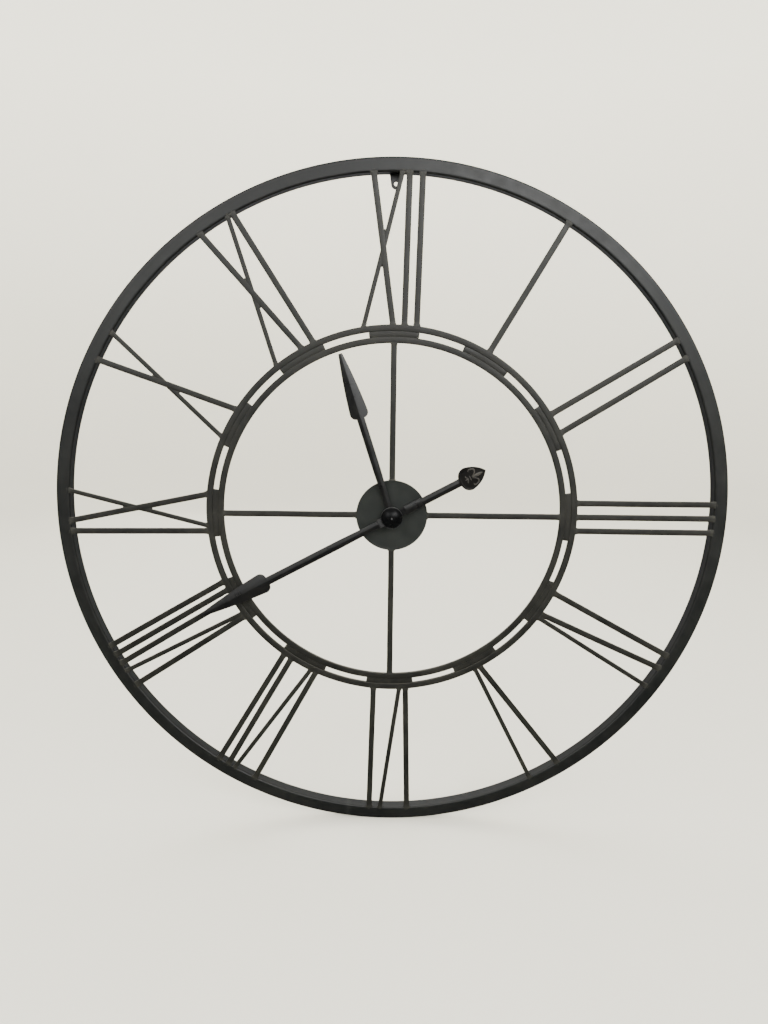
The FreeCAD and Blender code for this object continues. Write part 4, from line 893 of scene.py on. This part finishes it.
def bezier(a, b, c, d, steps=18):
    """Points on a cubic curve."""
    points = []
    for i in range(steps + 1):
        t = i / steps
        s = 1 - t
        weights = (s ** 3, 3 * s * s * t, 3 * s * t * t, t ** 3)
        points.append(tuple(sum(w * p[k] for w, p in zip(weights, (a, b, c, d))) for k in (0, 1)))
    return points


def swell(steps, widest, ends=0.15, power=0.8):
    """Widths along a stroke that is fine at both ends."""
    return [ends + (widest - ends) * sin(pi * i / steps) ** power
        for i in range(steps + 1)]


def leaf():
    """The counterweight's leaf: a cast plate with a soft rim and a raised three-leaf sprig."""
    back, front = LEAF_BACK, LEAF_FRONT
    plate_shape = Shape()
    rings = []
    layers = [(0.0, back + 0.8), (0.0, front - 1.6), (0.25, front - 1.1), (0.9, front - 0.75),
        (1.7, front - 0.75), (2.3, front - 1.0), (5.5, front - 0.8), (10.0, front - 0.65)]
    stations = [LEAF_ROOT + (LEAF_TIP - LEAF_ROOT) * (0.5 - 0.5 * cos(pi * i / 40))
        for i in range(41)]
    outline = [(leaf_half(a), a) for a in stations]
    outline += [(-half, a) for half, a in outline[-2::-1]]
    middle = 127.0
    for inset, level in [(0.9, back)] + layers:
        row = []
        for across, along in outline:
            size = hypot(across, along - middle)
            share = max(0.06, (size - inset) / size)
            row.append(beside(MINUTE_REST, across * share, -(middle + (along - middle) * share),
                level))
        rings.append(row)
    plate_shape.loft(rings)
    plate_shape.finish("leaf_plate", "minute_arm", LEAF, "tail_leaf", slot="leaf_black", crease=60)

    sprig, base, rise = Shape(), front - 1.0, 0.95
    lens = [(0.0, 131.0 + 17.0 * i / 18) for i in range(19)]
    relief(sprig, lens, swell(18, 2.5, 0.12, 0.9), rise, base)
    for side in (-1, 1):
        curl = bezier((side * 1.0, 129.5), (side * 3.0, 139.0), (side * 11.0, 141.5),
            (side * 11.8, 132.0), 16)
        curl += bezier((side * 11.8, 132.0), (side * 12.0, 129.0), (side * 9.3, 128.4),
            (side * 8.9, 130.4), 6)[1:]
        relief(sprig, curl, swell(22, 1.15, 0.25), rise * 0.85, base)
        low = bezier((side * 0.8, 126.5), (side * 1.6, 122.8), (side * 4.6, 121.6),
            (side * 6.4, 123.4), 10)
        relief(sprig, low, swell(10, 0.85), rise * 0.7, base)
    relief(sprig, [(0.0, 126.8 - 0.75 * i) for i in range(11)], swell(10, 1.0), rise * 0.7, base)
    relief(sprig, [(-3.6 + 0.72 * i, 128.2) for i in range(11)], swell(10, 0.8, 0.5, 0.5),
        rise * 0.95, base)
    sprig.finish("leaf_sprig", "minute_arm", SPRIG, slot="leaf_black", crease=60)


def cap():
    """The domed cap nut, with a painted highlight along the top of its rim and a painted glint on its
    crown.
    """
    shape = Shape()
    side, base, bore, dome_centre = CAP_RADIUS - 0.1, MINUTE_FRONT, 1.5, CAP_SIDE_TOP - 14.786
    profile = [(0.0, 43.5), (bore, 43.5), (bore, base + 0.2), (bore + 0.3, base), (side - 0.6, base),
        (side - 0.2, base + 0.15), (side, base + 0.45), (side, CAP_SIDE_TOP - 0.7)]
    profile += [(side - 0.75 * (1 - cos(radians(t))),
        CAP_SIDE_TOP - 0.7 + 0.9 * sin(radians(t))) for t in (20, 45, 70)]
    for i in range(1, 22):
        radius = (side - 0.9) * cos(pi / 2 * i / 22)
        profile.append((radius, dome_centre + sqrt(CAP_DOME ** 2 - radius ** 2) - 0.08))
    profile.append((0.0, 47.92))
    solid_of_turning(shape, profile, 96)
    shape.finish("cap_dome", "minute_arm", CAP, "cap_nut", slot="cap_black", crease=40)
    # The rim ring carries a painted highlight arc along its top.
    rim = Shape()
    turned(rim, [(CAP_RADIUS - 0.52 + 0.44 * cos(radians(t)),
        CAP_SIDE_TOP + 0.62 * sin(radians(t))) for t in range(0, 360, 30)])
    rim.finish("cap_rim", "minute_arm", CAP_RIM, slot="cap_black")
    # A small bright disc on the crown of the dome: a painted glint.
    crown_spot = Shape()
    solid_of_turning(crown_spot, [(0.0, 47.6), (1.2, 47.6), (1.3, 47.8), (1.2, 47.93), (0.8, 47.97),
        (0.0, 47.99)], 32)
    crown_spot.finish("cap_crown_spot", "minute_arm", CAP_CROWN, slot="cap_black", crease=60)


# ---- the back ----

def battery():
    """A plain AA cell: a sleeve with a band, a crimped can, the insulating ring and the button."""
    low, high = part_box("battery_cell")
    axis_y = (low.z + high.z) / 2
    axis_level = (low.y + high.y) / 2

    def lathe(name, profile, material):
        shape = Shape()
        shape.add(*spun(profile, 64, lambda x, radius, turn: Vector((
            x * MM, axis_level + radius * MM * cos(turn), axis_y + radius * MM * sin(turn)))))
        return shape.finish(name, "battery_cell", material, slot="cell_jacket", crease=40)

    sleeve_piece = lathe("cell_sleeve", [(-24.9, 0), (-24.9, 5.9), (-25.0, 6.5), (-24.6, 7.0),
        (-24.0, 7.1), (13.0, 7.1), (13.1, 7.0), (13.1, 0)], JACKET)
    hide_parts("battery_cell")
    lathe("cell_band", [(13.1, 0), (13.1, 7.0), (13.2, 7.08), (22.9, 7.08), (23.5, 6.9), (23.8, 6.3),
        (23.8, 0)], JACKET_BAND)
    lathe("cell_base", [(-25.2, 0), (-25.2, 4.4), (-25.05, 4.9), (-24.8, 5.3), (-24.8, 0)], TIN)
    lathe("cell_ring", [(23.8, 0), (23.8, 5.6), (24.0, 5.3), (24.0, 0)], RUBBER)
    lathe("cell_button", [(23.9, 0), (23.9, 2.9), (24.1, 2.75), (25.0, 2.65), (25.25, 2.4),
        (25.3, 2.0), (25.3, 0)], TIN)


def block(shape, left, right, low, high, back, front, edge=0.3):
    """A small block with chamfered edges."""
    rings = []
    for level, inset in ((back, edge), (back + edge, 0.0), (front - edge, 0.0), (front, edge)):
        rings.append([at(x, y, level) for x, y in rounded(left + inset, right - inset, low + inset,
            high - inset, 0.5, steps=3)])
    shape.loft(rings)


def case_details():
    """What the plain case lacks: ribs, clips, the knob's collar, a blank panel, ridges, rings."""
    shape, rib, depth = Shape(), 0.6, (4.5, 17.5)
    for side in (-1, 1):
        wall = sorted((side * (CASE_HALF - 0.6), side * (CASE_HALF + 0.25)))
        for x in (-20.0, -7.0, 7.0, 20.0):
            block(shape, x - rib, x + rib, *wall, *depth, 0.2)
        for y in (-19.0, 3.0, 20.0):
            block(shape, *wall, y - rib, y + rib, *depth, 0.2)
    for x, y in ((-28.6, 12.0), (27.0, 12.0), (-28.6, -4.5), (27.0, -4.5)):
        block(shape, x, x + 1.6, y - 2.6, y + 2.6, 1.9, 9.0, 0.3)
    for x in (-14.0, 14.0):
        block(shape, x - 2.6, x + 2.6, 27.0, 28.6, 1.9, 9.0, 0.3)
    shape.finish("case_ribs_and_clips", "frame", CASE, slot="case_black")

    low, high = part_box("setting_knob")
    knob = ((low.x + high.x) / 2 / MM, ((low.z + high.z) / 2 - DIAL.z) / MM)
    panel = Shape()
    turned(panel, [(6.9, 2.2), (6.9, 1.2), (7.2, 0.95), (8.0, 0.95), (8.3, 1.2), (8.4, 2.2)],
        steps=72, centre=knob)
    for left, right, bottom, top in ((-24.0, 8.0, 20.9, 21.7), (-24.0, 8.0, 1.6, 2.4),
            (-24.0, -23.2, 2.4, 20.9), (7.2, 8.0, 2.4, 20.9)):
        block(panel, left, right, bottom, top, 1.65, 2.3, 0.15)
    for i in range(7):
        block(panel, 13.0, 25.0, 9.2 + 2.2 * i, 10.0 + 2.2 * i, 1.7, 2.3, 0.15)
    for x, y in ((-25.6, 25.6), (25.6, 25.6), (-25.6, -8.9)):
        turned(panel, [(0.5, 2.2), (0.5, 1.85), (1.5, 1.7), (1.7, 1.9), (1.7, 2.2)], steps=24,
            centre=(x, y))
    panel.finish("cover_details", "frame", CASE, slot="case_black")


def bushing_thread():
    """The thread that shows on the bushing between the nut and the hour hand."""
    shape = Shape()
    rings, turns, steps = [], 1.6, 36
    for i in range(int(turns * steps) + 1):
        turn = tau * i / steps
        level = 25.35 + 0.5 * i / steps
        rings.append([at(*circle(3.9 + radius, turn), min(26.15, level + rise))
            for radius, rise in ((-0.1, -0.2), (0.18, -0.04), (0.18, 0.04), (-0.1, 0.2))])
    shape.loft(rings)
    shape.finish("bushing_thread", "frame", CASE, slot="case_black", crease=30)


# ---- studio ----

def studio():
    """A pale round studio: a floor that curves up into a plain wall all the way round."""
    floor = CAD_BOX[0][2] - 0.0005
    cove, wall = 1.4, 4.4
    profile = [(0.6 * i, 0.0) for i in range(0, 6)]
    profile += [(wall - cove + cove * sin(radians(t)), cove - cove * cos(radians(t)))
        for t in range(9, 91, 9)]
    profile += [(wall, 2.0), (wall, 3.5), (wall, 6.5)]
    points, faces = spun(profile, 96, lambda radius, height, turn: (
        *circle(radius, turn), floor + height), ends=1)
    mesh = bpy.data.meshes.new("studio_floor")
    mesh.from_pydata(points, [], faces)
    mesh.shade_smooth()
    made = linked("studio_floor", mesh)
    n = Nodes("studio_paper", Specular_IOR_Level=0.2)
    height = n.node("ShaderNodeSeparateXYZ", "Z", {"Vector": n.where})
    n.put(n.shader.inputs["Emission Color"], (1.0, 0.97, 0.85, 1.0))
    n.put(n.shader.inputs["Emission Strength"],
        n.ramp(height, floor + 0.1, floor + 2.6, 0.16, 1.25))
    paper = n.finish(n.mix(n.noise(0.8), (0.74, 0.725, 0.66), (0.77, 0.755, 0.69)), 0.85,
        n.bump(n.noise(300.0), 0.0003, 0.2))
    paper.cycles.emission_sampling = "NONE"
    mesh.materials.append(paper)
    made.visible_glossy = False


def lamp(name, place, aim, width, height, power):
    """A soft rectangular light."""
    light = bpy.data.lights.new(name, "AREA")
    light.shape = "RECTANGLE"
    light.size, light.size_y = width, height
    light.energy = power
    made = linked(name, light)
    made.location = place
    made.rotation_euler = (Vector(aim) - Vector(place)).to_track_quat("-Z", "Y").to_euler()
    made.visible_camera = False


def lighting():
    """Soft light from in front, stronger to the right, from above, and from high up behind."""
    lamp("front_softbox", (1.15, -2.6, 0.92), (0.0, 0.0, -0.35), 2.5, 1.5, 104.0)
    lamp("left_softbox", (-1.5, -2.4, 0.75), (0.0, 0.0, -0.4), 1.5, 1.5, 40.0)
    lamp("top_softbox", (0.0, 0.2, 1.7), (0.0, 0.0, -0.5), 2.6, 2.2, 25.0)
    lamp("back_softbox", (-0.6, 2.1, 1.9), (0.0, 0.0, -0.5), 2.4, 1.4, 46.0)
    lamp("back_glow", (0.0, 2.4, -0.05), (0.0, 0.0, -0.45), 2.6, 1.7, 8.0)
    world = bpy.data.worlds.new("studio_air")
    bpy.context.scene.world = world
    world.use_nodes = True
    world.node_tree.nodes["Background"].inputs["Color"].default_value = (0.95, 0.97, 1.0, 1.0)
    world.node_tree.nodes["Background"].inputs["Strength"].default_value = 0.08


def camera():
    """The photograph's view: a 26 mm lens 1.1 m in front of the dial, 11 degrees above its normal."""
    tilt, swing, roll = radians(10.85), radians(-0.09), radians(-0.7)
    to_camera = (Matrix.Rotation(roll, 3, "Z") @ Matrix.Rotation(swing, 3, "Y")
        @ Matrix.Rotation(tilt, 3, "X"))
    ring_radius = RING_OUTER * MM
    away = Vector((0.0229, -0.0101, -2.2061)) * ring_radius
    spot = -(to_camera.transposed() @ away)
    stand = Matrix.Rotation(radians(90.0), 3, "X")
    data = bpy.data.cameras.new("photograph_camera")
    data.lens, data.sensor_width = 26.0, 36.0
    data.clip_start, data.clip_end = 0.02, 30.0
    made = linked("photograph_camera", data)
    place = stand @ spot + Vector((DIAL.x, -FRONT * MM, DIAL.z))
    made.matrix_world = Matrix.Translation(place) @ (stand @ to_camera.transposed()).to_4x4()
    bpy.context.scene.camera = made


finish_cad_nodes()
ring()
hoop("hoop_bar_outer", "outer_hoop", OUTER_HOOP)
hoop("hoop_bar_inner", "inner_hoop", INNER_HOOP)
spacers()
numerals()
spoke_bars()
plate()
hanger()
hour_hand()
minute_hand()
sleeve()
tail_arm()
leaf()
cap()
battery()
case_details()
bushing_thread()
studio()
lighting()
camera()
